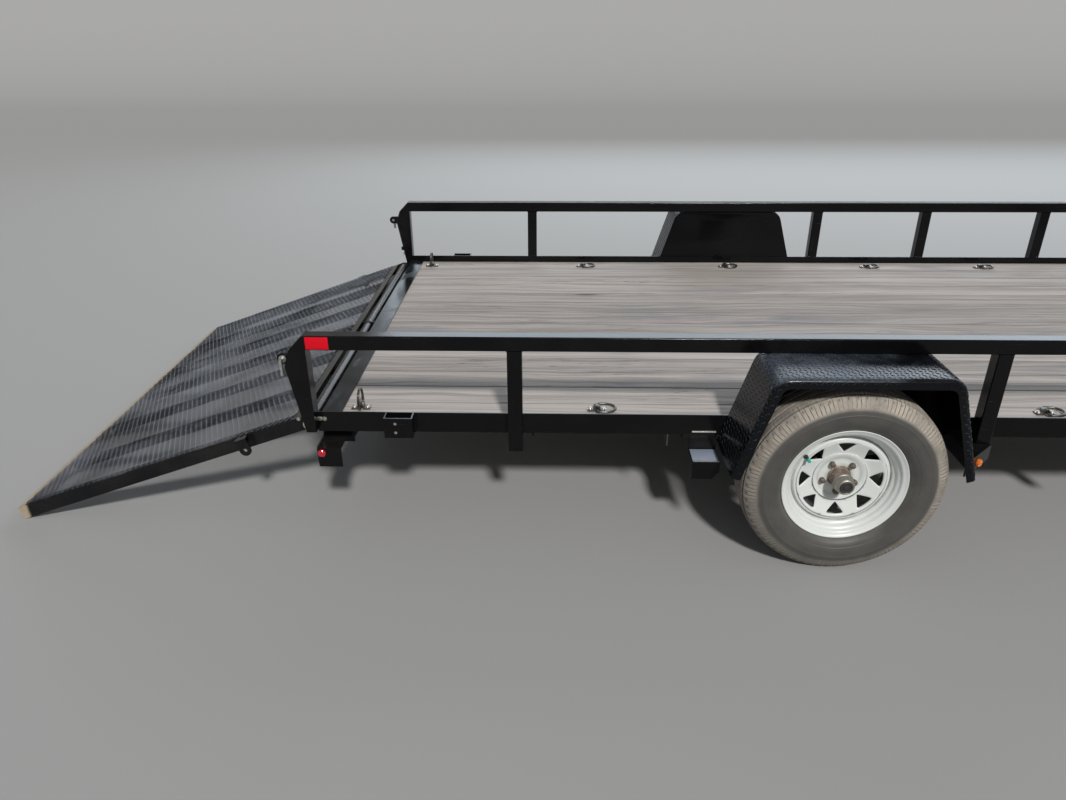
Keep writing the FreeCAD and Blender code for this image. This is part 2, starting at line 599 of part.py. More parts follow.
def rampLug(side):
    """Latch lug: a short level plate out from the ramp's rail and a bored plate that hangs from it."""
    half_tall = d.ramp_rail_tall / 2
    plate_out = d.frame_half - d.latch_side_gap
    plate_in = plate_out - d.lug_thick
    shelf = Part.makeBox(2 * d.lug_r, plate_out - d.ramp_half, d.lug_thick,
                         V(-d.latch_along - d.lug_r, d.ramp_half, half_tall - d.lug_thick))
    web = Part.makeBox(2 * d.lug_r, d.lug_thick, half_tall + d.latch_drop,
                       V(-d.latch_along - d.lug_r, plate_in, -d.latch_drop))
    eye = Part.makeCylinder(d.lug_r, d.lug_thick, V(-d.latch_along, plate_in, -d.latch_drop), Y_AXIS)
    bore = Part.makeCylinder(d.latch_hole_r, d.lug_thick, V(-d.latch_along, plate_in, -d.latch_drop), Y_AXIS)
    lug = shelf.fuse([web, eye]).cut(bore)
    if side < 0:
        lug = lug.mirror(V(0, 0, 0), Y_AXIS)
    return lug


def fenderOutline(inset, low):
    """Closed outline of the fender's side, from its lower rear corner round its top, inset by a sheet."""
    lean = math.atan2(d.fender_half_low - d.fender_half_top, d.rail_under - d.fender_low)
    top = d.rail_under - inset
    half_low = d.fender_half_low - inset / math.cos(lean) + (d.fender_low - low) * math.tan(lean)
    half_top = half_low - (top - low) * math.tan(lean)
    turn = math.pi / 2 - lean
    radius = d.fender_round - inset
    cut = radius * math.tan(turn / 2)
    slope = V(math.sin(lean), 0, math.cos(lean))
    corner = V(-half_top, 0, top)
    a = corner - slope * cut
    b = corner + V(cut, 0, 0)
    centre = b - V(0, 0, radius)
    toward = (corner - centre).normalize()
    middle = centre + toward * radius
    points = [V(-half_low, 0, low), a, middle, b]
    other = [V(-q.x, 0, q.z) for q in reversed(points)]
    edges = [Part.LineSegment(points[0], a).toShape(), Part.Arc(a, middle, b).toShape(),
             Part.LineSegment(b, other[0]).toShape(), Part.Arc(other[0], other[1], other[2]).toShape(),
             Part.LineSegment(other[2], other[3]).toShape(), Part.LineSegment(other[3], points[0]).toShape()]
    return Part.Wire(edges)


def fenders():
    """Bent sheet over each wheel with a lip outside and a plain plate against the frame inside."""
    sheet_thick = d.fender_sheet
    below = d.fender_low - d.fender_lip
    width = d.fender_out - d.frame_half
    at = V(d.axle_place, d.frame_half, 0)
    outer = Part.Face(fenderOutline(0, d.fender_low)).extrude(V(0, width, 0))
    inner = Part.Face(fenderOutline(sheet_thick, below)).extrude(V(0, width, 0))
    top = outer.cut(inner)
    lip = Part.Face(fenderOutline(0, d.fender_low)).extrude(V(0, sheet_thick, 0))
    lip = lip.cut(Part.Face(fenderOutline(d.fender_lip, below)).extrude(V(0, sheet_thick, 0)))
    lip.translate(V(0, width - sheet_thick, 0))
    back = Part.Face(fenderOutline(0, d.frame_under)).extrude(V(0, sheet_thick, 0))
    shell = top.fuse([lip, back]).removeSplitter()
    shell.translate(at)
    left = feature("fender_left_all", shell)
    keep(left, "fender_left")
    keep(mirrored("fender_right_all", left), "fender_right")


def fenderBrackets():
    """Bent step behind each fender and a lipped gusset ahead of it, both under the frame's side."""
    steps = []
    near = d.axle_place - d.fender_half_low
    far = near - d.step_wid
    down = Part.makeBox(d.step_wid, d.step_sheet, d.frame_under - d.step_up + d.step_sheet,
                        V(far, d.frame_half - d.step_sheet, d.step_up - d.step_sheet))
    level = Part.makeBox(d.step_wid, d.step_out, d.step_sheet, V(far, d.frame_half, d.step_up - d.step_sheet))
    low = d.step_up - d.step_lip
    face_y = d.frame_half + d.step_out
    corners = [V(near, face_y, d.step_up), V(far, face_y, d.step_up), V(far, face_y, low),
               V(near - d.step_cut, face_y, low), V(near, face_y, low + d.step_cut_up)]
    lip = Part.Face(Part.makePolygon(corners + [corners[0]])).extrude(V(0, -d.step_sheet, 0))
    steps.append(feature("step_left", down.fuse([level, lip]).removeSplitter()))
    steps.append(mirrored("step_right", steps[-1]))
    gusset = gussetShape()
    steps.append(feature("gusset_left", gusset))
    steps.append(mirrored("gusset_right", steps[-1]))
    keep(group("steps", steps), "fender_brackets")


def gussetCorners():
    """Plan of the front gusset: along the fender's end, round the upright and back on a slant."""
    start = d.axle_place + d.fender_half_low + d.weld_gap
    upright = d.upright_b
    return [V(start, d.frame_half, 0), V(upright, d.frame_half, 0), V(upright, d.rail_half, 0),
            V(upright + d.tube, d.rail_half, 0), V(start, d.rail_half + d.gusset_out, 0)]


def gussetShape():
    """Level plate under the frame with a lip hanging from its slanted edge."""
    plan = gussetCorners()
    plate = Part.Face(Part.makePolygon(plan + [plan[0]])).extrude(V(0, 0, d.step_sheet))
    slant = (plan[4] - plan[3]).normalize()
    outward = V(slant.y, -slant.x, 0) * d.step_sheet
    edge = [plan[3], plan[4], plan[4] + outward, plan[3] + outward]
    lip = Part.Face(Part.makePolygon(edge + [edge[0]])).extrude(V(0, 0, -d.gusset_lip))
    lip.translate(V(0, 0, d.step_sheet))
    shape = plate.fuse(lip).removeSplitter()
    shape.translate(V(0, 0, d.frame_under - d.step_sheet))
    return shape


def stakePockets():
    """Bent straps on the frame's sides that take a stake."""
    pockets = []
    outer = [("0", "0"), ("pocket_len", "0"), ("pocket_len", "0 - pocket_deep"), ("0", "0 - pocket_deep")]
    inner = [("pocket_wall", "0"), ("pocket_len - pocket_wall", "0"),
             ("pocket_len - pocket_wall", "pocket_wall - pocket_deep"),
             ("pocket_wall", "pocket_wall - pocket_deep")]
    for i, middle in enumerate(("pocket_place", "bed_len - pocket_place")):
        outline = [outer[0], inner[0], inner[3], inner[2], inner[1], outer[1], outer[2], outer[3]]
        strap = profile("pocket_%d" % i, "XY", outline, "frame_tall",
                        ("%s - pocket_len / 2" % middle, "0 - frame_half", "frame_under"))
        pockets.append(strap)
        pockets.append(mirrored("pocket_left_%d" % i, strap))
    keep(group("pockets", pockets), "stake_pockets")


RING_SHARES = (0, 0.218, 0.4218, 0.623, 0.7835, 1)
# across and up, as shares of the ring's radius, from the middle of its straight bar round its bow
RING_POINTS = ((0, 0), (0.77, 0), (1, 0.23), (1, 1), (0.809, 1.588), (0.309, 1.951), (-0.309, 1.951),
               (-0.809, 1.588), (-1, 1), (-1, 0.23), (-0.77, 0))


def ringPlaces():
    span = d.bed_len - d.ring_front - d.ring_rear
    return [d.ring_rear + share * span for share in RING_SHARES]


def tieDownRings():
    """Forged rings along both sides of the deck, each in a bolted clip: the first stands, the others lie."""
    rings = []
    wire_up = d.deck_top + d.ring_wire_r + d.ring_up
    for i, middle in enumerate(ringPlaces()):
        foot = V(middle, d.ring_in - d.rail_half, wire_up)
        rise = Z_AXIS if i == 0 else X_AXIS
        wire = ringWire(foot, rise)
        rings.append(feature("ring_%d" % i, Part.makeCompound([wire, ringClip(foot)])))
        rings.append(mirrored("ring_left_%d" % i, rings[-1]))
    keep(group("rings", rings), "tie_down_rings")


def hexagon(middle, radius):
    """Six-sided outline across the Y axis, with level sides."""
    spots = []
    for k in range(6):
        angle = math.radians(60 * k)
        spots.append(middle + V(radius * math.cos(angle), 0, radius * math.sin(angle)))
    return Part.makePolygon(spots + [spots[0]])


def ringWire(foot, rise):
    """Ring of six-sided wire swept round its outline from the middle of its bar."""
    points = [foot + Y_AXIS * (u * d.ring_r) + rise * (v * d.ring_r) for u, v in RING_POINTS]
    path = Part.makePolygon(points + [points[0]])
    return path.makePipeShell([hexagon(foot, d.ring_wire_r)], True, False, 1)


def ringClip(foot):
    """Strap with a hump over the ring's bar."""
    half_wid = d.clip_wid / 2
    half_hump = d.hump_wid / 2
    start = V(foot.x, foot.y - half_wid, d.deck_top)
    strap = Part.makeBox(d.clip_len, d.clip_wid, d.clip_thick, start - V(d.clip_len / 2, 0, 0))
    slant = d.ring_wire_r + 1
    corners = [V(-half_hump, 0, 0), V(-half_hump, 0, d.hump_tall - slant), V(slant - half_hump, 0, d.hump_tall),
               V(half_hump - slant, 0, d.hump_tall), V(half_hump, 0, d.hump_tall - slant), V(half_hump, 0, 0)]
    hump = Part.Face(Part.makePolygon([start + c for c in corners + [corners[0]]]))
    hump = hump.extrude(V(0, d.clip_wid, 0))
    room = Part.Face(hexagon(foot - V(0, half_wid, 0), d.ring_wire_r + d.ring_room))
    room = room.extrude(V(0, d.clip_wid, 0))
    return strap.fuse(hump).cut(room).removeSplitter()


def lampBoxes():
    """Rear lamp boxes under the frame's rear corners, with lamps behind and a round marker outside."""
    top = d.cross_low
    wall = d.lamp_box_wall
    outer = d.rail_half - d.lamp_box_in
    inner = outer - d.lamp_box_wid
    low = top - d.lamp_box_tall
    body = Part.makeBox(d.lamp_box_deep, d.lamp_box_wid, d.lamp_box_tall, V(0, inner, low))
    inside = Part.makeBox(d.lamp_box_deep, d.lamp_box_wid - 2 * wall, d.lamp_box_tall - wall,
                          V(wall, inner + wall, low))
    gusset_y = d.leg_in + d.lamp_box_in
    gusset_len = d.lamp_gusset_len
    corners = [V(0, gusset_y, top), V(gusset_len, gusset_y, top),
               V(gusset_len + d.lamp_gusset_more, gusset_y, d.frame_under), V(wall, gusset_y, d.frame_under)]
    gusset = Part.Face(Part.makePolygon(corners + [corners[0]])).extrude(V(0, wall, 0))
    middle_y = outer - d.lamp_box_wid / 2
    middle_z = top - d.lamp_box_tall / 2
    marker_z = top - d.marker_down
    left = body.cut(inside).fuse(gusset).removeSplitter()
    lamp_hole = lampShape(middle_y, middle_z, d.lamp_r + d.ring_room, 0, wall)
    hole_foot = V(d.marker_place, outer - wall, marker_z)
    marker_hole = Part.makeCylinder(d.marker_r - d.marker_face, wall, hole_foot, Y_AXIS)
    left = left.cut(lamp_hole).cut(marker_hole)
    box_left = feature("lamp_box_left", left)
    keep(group("lamp_boxes", [box_left, mirrored("lamp_box_right", box_left)]), "light_boxes")
    lamp_left = feature("tail_lamp_left", lampShape(middle_y, middle_z, d.lamp_r, -d.lamp_past, d.lamp_deep))
    keep(group("lamps", [lamp_left, mirrored("tail_lamp_right", lamp_left)]), "tail_lamps")
    marker_left = feature("red_marker_left", markerShape(d.marker_place, outer, marker_z))
    keep(group("red_all", [marker_left, mirrored("red_marker_right", marker_left)]), "red_markers")
    plan = gussetCorners()
    facing = V((plan[4] - plan[3]).y, -(plan[4] - plan[3]).x, 0).normalize()
    amber = markerShape(0, 0, 0)
    amber.rotate(V(0, 0, 0), Z_AXIS, -math.degrees(math.atan2(facing.x, facing.y)))
    middle = (plan[3] + plan[4]) * 0.5 + facing * d.step_sheet
    amber.translate(middle + V(0, 0, d.frame_under - d.gusset_lip * 0.62))
    amber_left = feature("amber_marker_left", amber)
    keep(group("amber_all", [amber_left, mirrored("amber_marker_right", amber_left)]), "amber_markers")


def lampShape(y, z, radius, start, length):
    """Oblong lamp, lying across, between two X limits."""
    reach = d.lamp_half - d.lamp_r
    a = Part.makeCylinder(radius, length, V(start, y - reach, z), X_AXIS)
    b = Part.makeCylinder(radius, length, V(start, y + reach, z), X_AXIS)
    middle = Part.makeBox(length, 2 * reach, 2 * radius, V(start, y - reach, z - radius))
    return a.fuse([b, middle]).removeSplitter()


def markerShape(x, y, z):
    """Round marker lamp with a domed face, on an outer side."""
    base_len = d.marker_out - d.marker_dome
    base = Part.makeCylinder(d.marker_r, base_len, V(x, y, z), Y_AXIS)
    dome = Part.makeCone(d.marker_r, d.marker_r - d.marker_face, d.marker_dome, V(x, y + base_len, z), Y_AXIS)
    return base.fuse(dome)


def axle():
    """Drop axle: a low tube between the springs that steps up to a spindle at each end."""
    low = d.wheel_up - d.axle_drop
    step_y = d.frame_half + d.axle_side
    stub_y = step_y + d.axle_tube_r + d.stub_past
    bends = [(-stub_y, d.wheel_up), (-step_y, d.wheel_up), (-step_y, low),
             (step_y, low), (step_y, d.wheel_up), (stub_y, d.wheel_up)]
    pieces = [pipe([V(d.axle_place, y, z) for y, z in bends], d.axle_tube_r)]
    seat_foot = low + d.axle_tube_r - d.seat_sunk
    for side in (-1, 1):
        spindle_foot = V(d.axle_place, side * stub_y, d.wheel_up)
        spindle_len = d.wheel_out + d.spindle_past - stub_y
        pieces.append(Part.makeCylinder(d.spindle_r, spindle_len, spindle_foot, Y_AXIS * side))
        pieces.append(Part.makeBox(d.seat_len, d.spring_wid, d.seat_thick,
                                   V(d.axle_place - d.seat_len / 2, side * springMiddle() - d.spring_wid / 2,
                                     seat_foot)))
    keep(feature("axle_all", pieces[0].fuse(pieces[1:]).removeSplitter()), "axle")


def springMiddle():
    return d.frame_half - d.frame_leg / 2


def leafArc(half, rise, thick, wid, base):
    """One leaf: an arc that sags to its middle, in its own frame, with its underside at base."""
    outline = []
    for offset in (0, thick):
        a = V(-half, 0, base + rise + offset)
        b = V(0, 0, base + offset)
        c = V(half, 0, base + rise + offset)
        outline.append((a, b, c))
    (a, b, c), (e, f, g) = outline
    wire = Part.Wire([Part.Arc(a, b, c).toShape(), Part.LineSegment(c, g).toShape(),
                      Part.Arc(g, f, e).toShape(), Part.LineSegment(e, a).toShape()])
    return Part.Face(wire).extrude(V(0, wid, 0))


def springs():
    """Leaf springs on the axle's seats, with hangers under the frame."""
    seat = d.wheel_up - d.axle_drop + d.axle_tube_r - d.seat_sunk + d.seat_thick
    hangers = []
    start = springMiddle() - d.spring_wid / 2
    full_rise = d.spring_eye_up - d.eye_r - seat - (d.leaf_count - 1) * d.leaf_thick
    leaves = []
    for i in range(int(d.leaf_count)):
        share = (i + 1) / d.leaf_count
        half = d.spring_half * share
        base = seat + i * d.leaf_thick
        leaves.append(leafArc(half, full_rise * share ** 2, d.leaf_thick, d.spring_wid, base))
    for end in (-1, 1):
        eye = V(end * d.spring_half, 0, d.spring_eye_up)
        leaves.append(Part.makeCylinder(d.eye_r, d.spring_wid, eye, Y_AXIS))
    spring = leaves[0].fuse(leaves[1:]).removeSplitter()
    for end in (-1, 1):
        eye = V(end * d.spring_half, 0, d.spring_eye_up)
        spring = spring.cut(Part.makeCylinder(d.shackle_r + d.hinge_clear, d.spring_wid, eye, Y_AXIS))
    spring.translate(V(d.axle_place, start, 0))
    spring_left = feature("spring_left", spring)
    sides = [spring_left, mirrored("spring_right", spring_left)]
    for end in (-1, 1):
        eye_x = d.axle_place + end * d.spring_half
        cheeks = []
        low = d.spring_eye_up - d.hanger_half_low
        for y in (start - d.hanger_thick - d.hanger_gap, start + d.spring_wid + d.hanger_gap):
            corners = [V(eye_x - d.hanger_half_top, y, d.frame_under),
                       V(eye_x + d.hanger_half_top, y, d.frame_under),
                       V(eye_x + d.hanger_half_low, y, low), V(eye_x - d.hanger_half_low, y, low)]
            face = Part.Face(Part.makePolygon(corners + [corners[0]]))
            cheeks.append(face.extrude(V(0, d.hanger_thick, 0)))
        bolt = Part.makeCylinder(d.shackle_r, d.spring_wid + 2 * (d.hanger_thick + d.shackle_past),
                                 V(eye_x, start - d.hanger_thick - d.shackle_past, d.spring_eye_up), Y_AXIS)
        corner = V(eye_x - d.hanger_half_top, start - d.hanger_gap, d.frame_under - d.hanger_thick)
        bridge = Part.makeBox(2 * d.hanger_half_top, d.spring_wid + 2 * d.hanger_gap, d.hanger_thick, corner)
        hanger = cheeks[0].fuse([cheeks[1], bolt, bridge]).removeSplitter()
        left = feature("hanger_%s_left" % ("rear" if end < 0 else "front"), hanger)
        hangers.extend([left, mirrored(left.Name + "_copy", left)])
    keep(group("springs", sides), "leaf_springs")
    keep(group("hangers", hangers), "spring_hangers")


def revolved(points, at):
    """Turn a closed outline of (radius, across) pairs about the wheel's axle line."""
    spots = [V(at.x + radius, at.y + across, at.z) for radius, across in points]
    face = Part.Face(Part.makePolygon(spots + [spots[0]]))
    return face.revolve(at, Y_AXIS, 360)


def tyreOutline():
    """Half outline of the hollow tyre as radius and distance across: the outside, then the inside."""
    half = d.tyre_wid / 2
    top = d.tyre_od / 2
    seat = d.rim_seat_r + d.bead_gap
    bead = d.rim_half - d.rim_thick - 1.5
    bulge = top - 0.49 * (top - seat)
    outside = ((seat, bead), (d.rim_flange_r + d.bead_gap, bead), (bulge, half),
               (top - d.shoulder_deep, half - d.shoulder_in), (top, d.tread_half))
    inside = ((top - d.tread_thick, half - 2 * d.tread_thick), (seat, bead - d.bead_wid))
    return outside, inside


def wheels():
    """Tyre, steel rim with windows and hub on each side."""
    at = V(d.axle_place, d.wheel_out, d.wheel_up)
    outside, inside = tyreOutline()
    points = list(outside) + [(r, -a) for r, a in reversed(outside)]
    points = points + [(r, -a) for r, a in reversed(inside)] + list(inside)
    tyre = feature("tyre_left_all", revolved(points, at))
    keep(tyre, "tyre_left")
    keep(mirrored("tyre_right_all", tyre), "tyre_right")
    rim = feature("rim_left_all", rimShape(at))
    keep(rim, "rim_left")
    keep(mirrored("rim_right_all", rim), "rim_right")
    hub = feature("hub_left_all", hubShape(at))
    keep(hub, "hub_left")
    keep(mirrored("hub_right_all", hub), "hub_right")


def rimShape(at):
    """Rolled rim with a drop centre and a pressed disc with windows and stud holes."""
    disc = revolved(discOutline(), at)
    cuts = []
    for i in range(int(d.window_count)):
        cuts.append(windowCut(at, 360 * i / d.window_count))
    for i in range(int(d.stud_count)):
        angle = math.radians(d.stud_turn + 360 * i / d.stud_count)
        foot = at + V(d.stud_circle_r * math.cos(angle), 0, d.stud_circle_r * math.sin(angle))
        cuts.append(Part.makeCylinder(d.stud_hole_r, d.ridge_in, foot, Y_AXIS))
    return revolved(barrelOutline(), at).fuse(disc.cut(cuts)).removeSplitter()


def barrelOutline():
    """Rim barrel: flanges, bead seats and the well, then back along its inner side."""
    half = d.rim_half
    thick = d.rim_thick
    flange = d.rim_flange_r
    seat = d.rim_seat_r
    well = d.rim_well_r
    ledge = half - d.rim_ledge
    near = half - d.well_near
    far = half - d.well_far
    outer = [(flange, half), (flange, half - thick), (seat, half - thick), (seat, ledge), (well, near),
             (well, far), (seat, -ledge), (seat, thick - half), (flange, thick - half), (flange, -half)]
    inner = [(seat - thick, -half), (seat - thick, -ledge), (well - thick, far), (well - thick, near),
             (seat - thick, ledge), (seat - thick, half)]
    return outer + inner


def discOutline():
    """Pressed disc: a skirt inside the well, a crown, a slope to the ridge and the pad on the hub."""
    edge = d.rim_well_r - d.rim_thick + d.disc_overlap
    thick = d.disc_thick
    crown_r = edge - d.crown_wid
    hole_r = d.hub_r + d.disc_overlap
    outer = [(edge, d.crown_in), (crown_r, d.crown_in), (d.disc_foot_r, d.disc_foot_in),
             (d.ridge_r, d.ridge_in), (d.pad_r, d.pad_in), (hole_r, d.pad_in)]
    inner = [(hole_r, d.pad_in - thick), (d.pad_r, d.pad_in - thick), (d.disc_foot_r, d.disc_foot_in - thick),
             (crown_r, d.crown_in - thick), (edge - thick, d.crown_in - thick), (edge - thick, d.skirt_in),
             (edge, d.skirt_in)]
    return outer + inner


def windowCut(at, turn):
    """Tool for one disc window: a triangle with round corners, its wide side outward."""
    outward = d.window_r + d.window_out
    deep = d.crown_in + d.disc_thick
    corners = [V(outward, 0, -d.window_half), V(outward, 0, d.window_half), V(d.window_r - d.window_in, 0, 0)]
    radius = d.window_round
    shapes = [Part.Face(Part.makePolygon(corners + [corners[0]])).extrude(V(0, deep, 0))]
    for i, corner in enumerate(corners):
        run = corners[(i + 1) % 3] - corner
        across = V(-run.z, 0, run.x).normalize() * radius
        strip = [corner + across, corner + run + across, corner + run - across, corner - across]
        shapes.append(Part.Face(Part.makePolygon(strip + [strip[0]])).extrude(V(0, deep, 0)))
        shapes.append(Part.makeCylinder(radius, deep, corner, Y_AXIS))
    tool = shapes[0].fuse(shapes[1:]).removeSplitter()
    tool.rotate(V(0, 0, 0), Y_AXIS, turn)
    tool.translate(at)
    return tool


def hubShape(at):
    """Hub with its flange behind the disc and a round dust cap, bored for the spindle."""
    bore_r = d.spindle_r + d.hinge_clear
    inner = d.frame_half + d.axle_side + d.axle_tube_r + d.hub_start - d.wheel_out
    back_r = d.hub_r + d.hub_back_lip
    cap_r = d.hub_r - d.cap_taper
    outline = [(bore_r, inner), (back_r, inner), (back_r, -d.hub_flange_in), (d.hub_flange_r, -d.hub_flange_in),
               (d.hub_flange_r, d.hub_face), (d.hub_r, d.hub_face), (d.hub_r, d.hub_out),
               (cap_r, d.hub_out + d.cap_taper), (cap_r, d.cap_out - d.cap_round / 2),
               (cap_r - d.cap_round, d.cap_out), (0, d.cap_out), (0, d.cap_room), (bore_r, d.cap_room)]
    return revolved(outline, at)


def tongue():
    """A-frame of two rectangular tubes from under the bed to the coupler."""
    rear_y = d.tongue_spread + d.tongue_slope * d.tongue_tuck
    turn = math.degrees(math.atan(d.tongue_slope))
    run = math.hypot(d.tongue_end - d.tongue_rear, rear_y - d.tongue_nose) + d.tongue_wid
    wall = d.tongue_wall
    beam = Part.makeBox(run, d.tongue_wid, d.tongue_tall)
    beam = beam.cut(Part.makeBox(run, d.tongue_wid - 2 * wall, d.tongue_tall - 2 * wall, V(0, wall, wall)))
    beam.rotate(V(0, 0, 0), Z_AXIS, -turn)
    low = d.tongue_top - d.tongue_tall
    beam.translate(V(d.tongue_rear, rear_y, low))
    # the left beam keeps to its own side and ends at the coupler
    room = Part.makeBox(d.tongue_end - d.tongue_rear, rear_y + d.tongue_wid, d.tongue_tall,
                        V(d.tongue_rear, d.tongue_gap, low))
    left = feature("tongue_left_all", beam.common(room))
    keep(left, "tongue_left")
    keep(mirrored("tongue_right_all", left), "tongue_right")


def coupler():
    """Ball coupler: a pressed body on the tongue that narrows to a round nose over the ball."""
    top = d.tongue_top + d.coupler_tall
    low = d.tongue_top + d.tongue_gap
    ball = V(d.ball_place, 0, d.ball_up)
    nose_r = d.ball_r + d.coupler_wall
    socket_r = d.ball_r + d.ball_clear
    back = d.tongue_end - d.coupler_back
    back_half = d.tongue_nose + d.tongue_slope * d.coupler_back + d.coupler_lap
    front_half = d.tongue_nose + d.coupler_lap / 2
    side = [V(back, back_half, low), V(d.tongue_end, front_half, low), V(d.ball_place, nose_r, low)]
    other = [V(q.x, -q.y, q.z) for q in reversed(side)]
    plan = Part.Face(Part.makePolygon(side + other + [side[0]]))
    body = plan.extrude(V(0, 0, top - low - d.coupler_shoulder))
    crown = top - d.coupler_shoulder
    nose = Part.makeCylinder(nose_r, crown - low, V(ball.x, 0, low), Z_AXIS)
    dome = Part.makeCone(nose_r, nose_r - d.coupler_shoulder, d.coupler_shoulder, V(ball.x, 0, crown), Z_AXIS)
    hollow = Part.makeSphere(socket_r, ball)
    throat = Part.makeCylinder(socket_r, ball.z - low, V(ball.x, 0, low), Z_AXIS)
    body = body.fuse([nose, dome]).cut([hollow, throat])
    lever_x = ball.x - d.lever_back - d.lever_len
    lever = Part.makeBox(d.lever_len, d.lever_wid, d.lever_thick, V(lever_x, -d.lever_wid / 2, crown - 2))
    eye = Part.makeCylinder(d.lever_eye_r, d.lever_eye_len,
                            V(lever_x + d.lever_len - d.lever_eye_r, -d.lever_eye_len / 2, crown + 2), Y_AXIS)
    keep(feature("coupler_all", body.fuse([lever, eye]).removeSplitter()), "coupler")


def jack():
    """Top-wind jack on a plate between the tongue's tubes, its leg down to a foot on the ground."""
    x = d.tongue_end - d.jack_back
    keep(feature("jack_tube_all", jackTube(x)), "jack_tube")
    leg_r = d.jack_r - d.jack_wall - d.jack_fit
    leg = Part.makeCylinder(leg_r, d.jack_low + d.leg_inside, V(x, 0, 0), Z_AXIS)
    foot = Part.makeCylinder(d.jack_foot_r, d.foot_thick, V(x, 0, 0), Z_AXIS)
    cone = Part.makeCone(d.jack_foot_r - d.foot_rim, leg_r, d.foot_cone, V(x, 0, d.foot_thick), Z_AXIS)
    keep(feature("jack_leg_all", leg.fuse([foot, cone]).removeSplitter()), "jack_leg")
    top = d.jack_top + d.jack_head
    stem = Part.makeCylinder(d.crank_stem_r, d.crank_stem, V(x, 0, top), Z_AXIS)
    arm = Part.makeBox(d.crank_reach + d.crank_wid, d.crank_wid, d.crank_thick,
                       V(x - d.crank_reach - d.crank_wid / 2, -d.crank_wid / 2, top + d.crank_up))
    knob_foot = V(x - d.crank_reach, 0, top + d.crank_up + d.crank_thick)
    knob = Part.makeCylinder(d.knob_r, d.knob_tall, knob_foot, Z_AXIS)
    keep(feature("jack_crank_all", stem.fuse([arm, knob]).removeSplitter()), "jack_crank")


def jackTube(x):
    """Outer tube with its head and collar, welded in a plate that lies on the tongue's tubes."""
    rear = x - d.plate_rear
    front = x + d.plate_front
    corners = []
    for at_x, lap in ((rear, d.plate_lap), (front, -d.plate_lap)):
        half = d.tongue_nose + d.tongue_slope * (d.tongue_end - at_x) + lap
        corners.append(V(at_x, half, d.tongue_top))
    corners = corners + [V(q.x, -q.y, q.z) for q in reversed(corners)]
    plate = Part.Face(Part.makePolygon(corners + [corners[0]])).extrude(V(0, 0, d.jack_plate))
    tall = d.jack_top - d.jack_low
    tube = Part.makeCylinder(d.jack_r, tall, V(x, 0, d.jack_low), Z_AXIS)
    head = Part.makeCylinder(d.jack_r + d.jack_head_lip, d.jack_head, V(x, 0, d.jack_top), Z_AXIS)
    collar_foot = V(x, 0, d.tongue_top + d.jack_plate)
    collar = Part.makeCylinder(d.jack_r + d.jack_collar, d.jack_collar, collar_foot, Z_AXIS)
    bore = Part.makeCylinder(d.jack_r - d.jack_wall, tall - d.jack_roof, V(x, 0, d.jack_low), Z_AXIS)
    return plate.fuse([tube, head, collar]).cut(bore).removeSplitter()


def build():
    frameSides()
    endMembers()
    crossmembers()
    deck()
    rails()
    uprights()
    rearPosts()
    latchPins()
    hingeRod()
    ramp()
    fenders()
    fenderBrackets()
    stakePockets()
    tieDownRings()
    lampBoxes()
    axle()
    springs()
    wheels()
    tongue()
    coupler()
    jack()


def check():
    """Stop if any object failed or any sub-part has no valid shape."""
    doc.recompute()
    for thing in doc.Objects:
        if "Invalid" in thing.State or "Error" in thing.State:
            raise RuntimeError("failed object: " + thing.Label)
    for part in parts:
        if part.Shape.isNull() or not part.Shape.isValid():
            raise RuntimeError("bad shape: " + part.Label)


def export():
    os.makedirs("parts", exist_ok=True)
    for part in parts:
        part.Shape.exportStep("parts/%s.step" % part.Label)
        box_now = part.Shape.BoundBox
        print("%-18s solids %2d  x %8.1f %8.1f  y %8.1f %8.1f  z %7.1f %7.1f" % (
            part.Label, len(part.Shape.Solids), box_now.XMin, box_now.XMax,
            box_now.YMin, box_now.YMax, box_now.ZMin, box_now.ZMax))


build()
check()
export()
print("ramp falls %.3f degrees, closes at %.3f degrees" % (d.ramp_fall, d.ramp_fall + 90 - d.closed_lean))
print("shift %.3f" % d.shift)
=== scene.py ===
# Single-axle utility trailer with its ramp gate down on the ground.
# Metres: +X forward, +Y to the trailer's left, +Z up, and the ground at Z = 0.
import math
import bmesh
import bpy
import numpy as np
from mathutils import Matrix, Vector


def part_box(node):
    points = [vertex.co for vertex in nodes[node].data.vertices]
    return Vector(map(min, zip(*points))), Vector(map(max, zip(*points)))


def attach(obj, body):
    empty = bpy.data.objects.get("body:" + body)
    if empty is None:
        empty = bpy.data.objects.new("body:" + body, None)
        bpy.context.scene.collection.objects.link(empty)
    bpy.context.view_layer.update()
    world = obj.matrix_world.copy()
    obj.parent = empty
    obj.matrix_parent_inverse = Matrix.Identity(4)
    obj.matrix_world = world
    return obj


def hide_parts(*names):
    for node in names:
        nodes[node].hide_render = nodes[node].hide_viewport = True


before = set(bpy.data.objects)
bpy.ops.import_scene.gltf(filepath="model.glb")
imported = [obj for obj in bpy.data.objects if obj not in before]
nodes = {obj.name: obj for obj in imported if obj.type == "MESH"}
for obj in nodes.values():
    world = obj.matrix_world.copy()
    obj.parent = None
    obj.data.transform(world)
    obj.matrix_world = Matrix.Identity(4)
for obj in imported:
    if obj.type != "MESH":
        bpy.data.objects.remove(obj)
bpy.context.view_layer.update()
scene = bpy.context.scene
rng = np.random.default_rng(7)
print("frame loaded:", len(nodes), "nodes")


# Camera and studio

cameraView = {
    "place": (-1.3219, -3.4557, 1.7458),
    "pitch": 26.02,        # degrees below the horizon
    "heading": -1.73,      # degrees from +Y towards +X
    "roll": -0.293,
    "focalPixels": 789.06,
    "imageWidth": 1066,
    "sensor": 36.0,
}


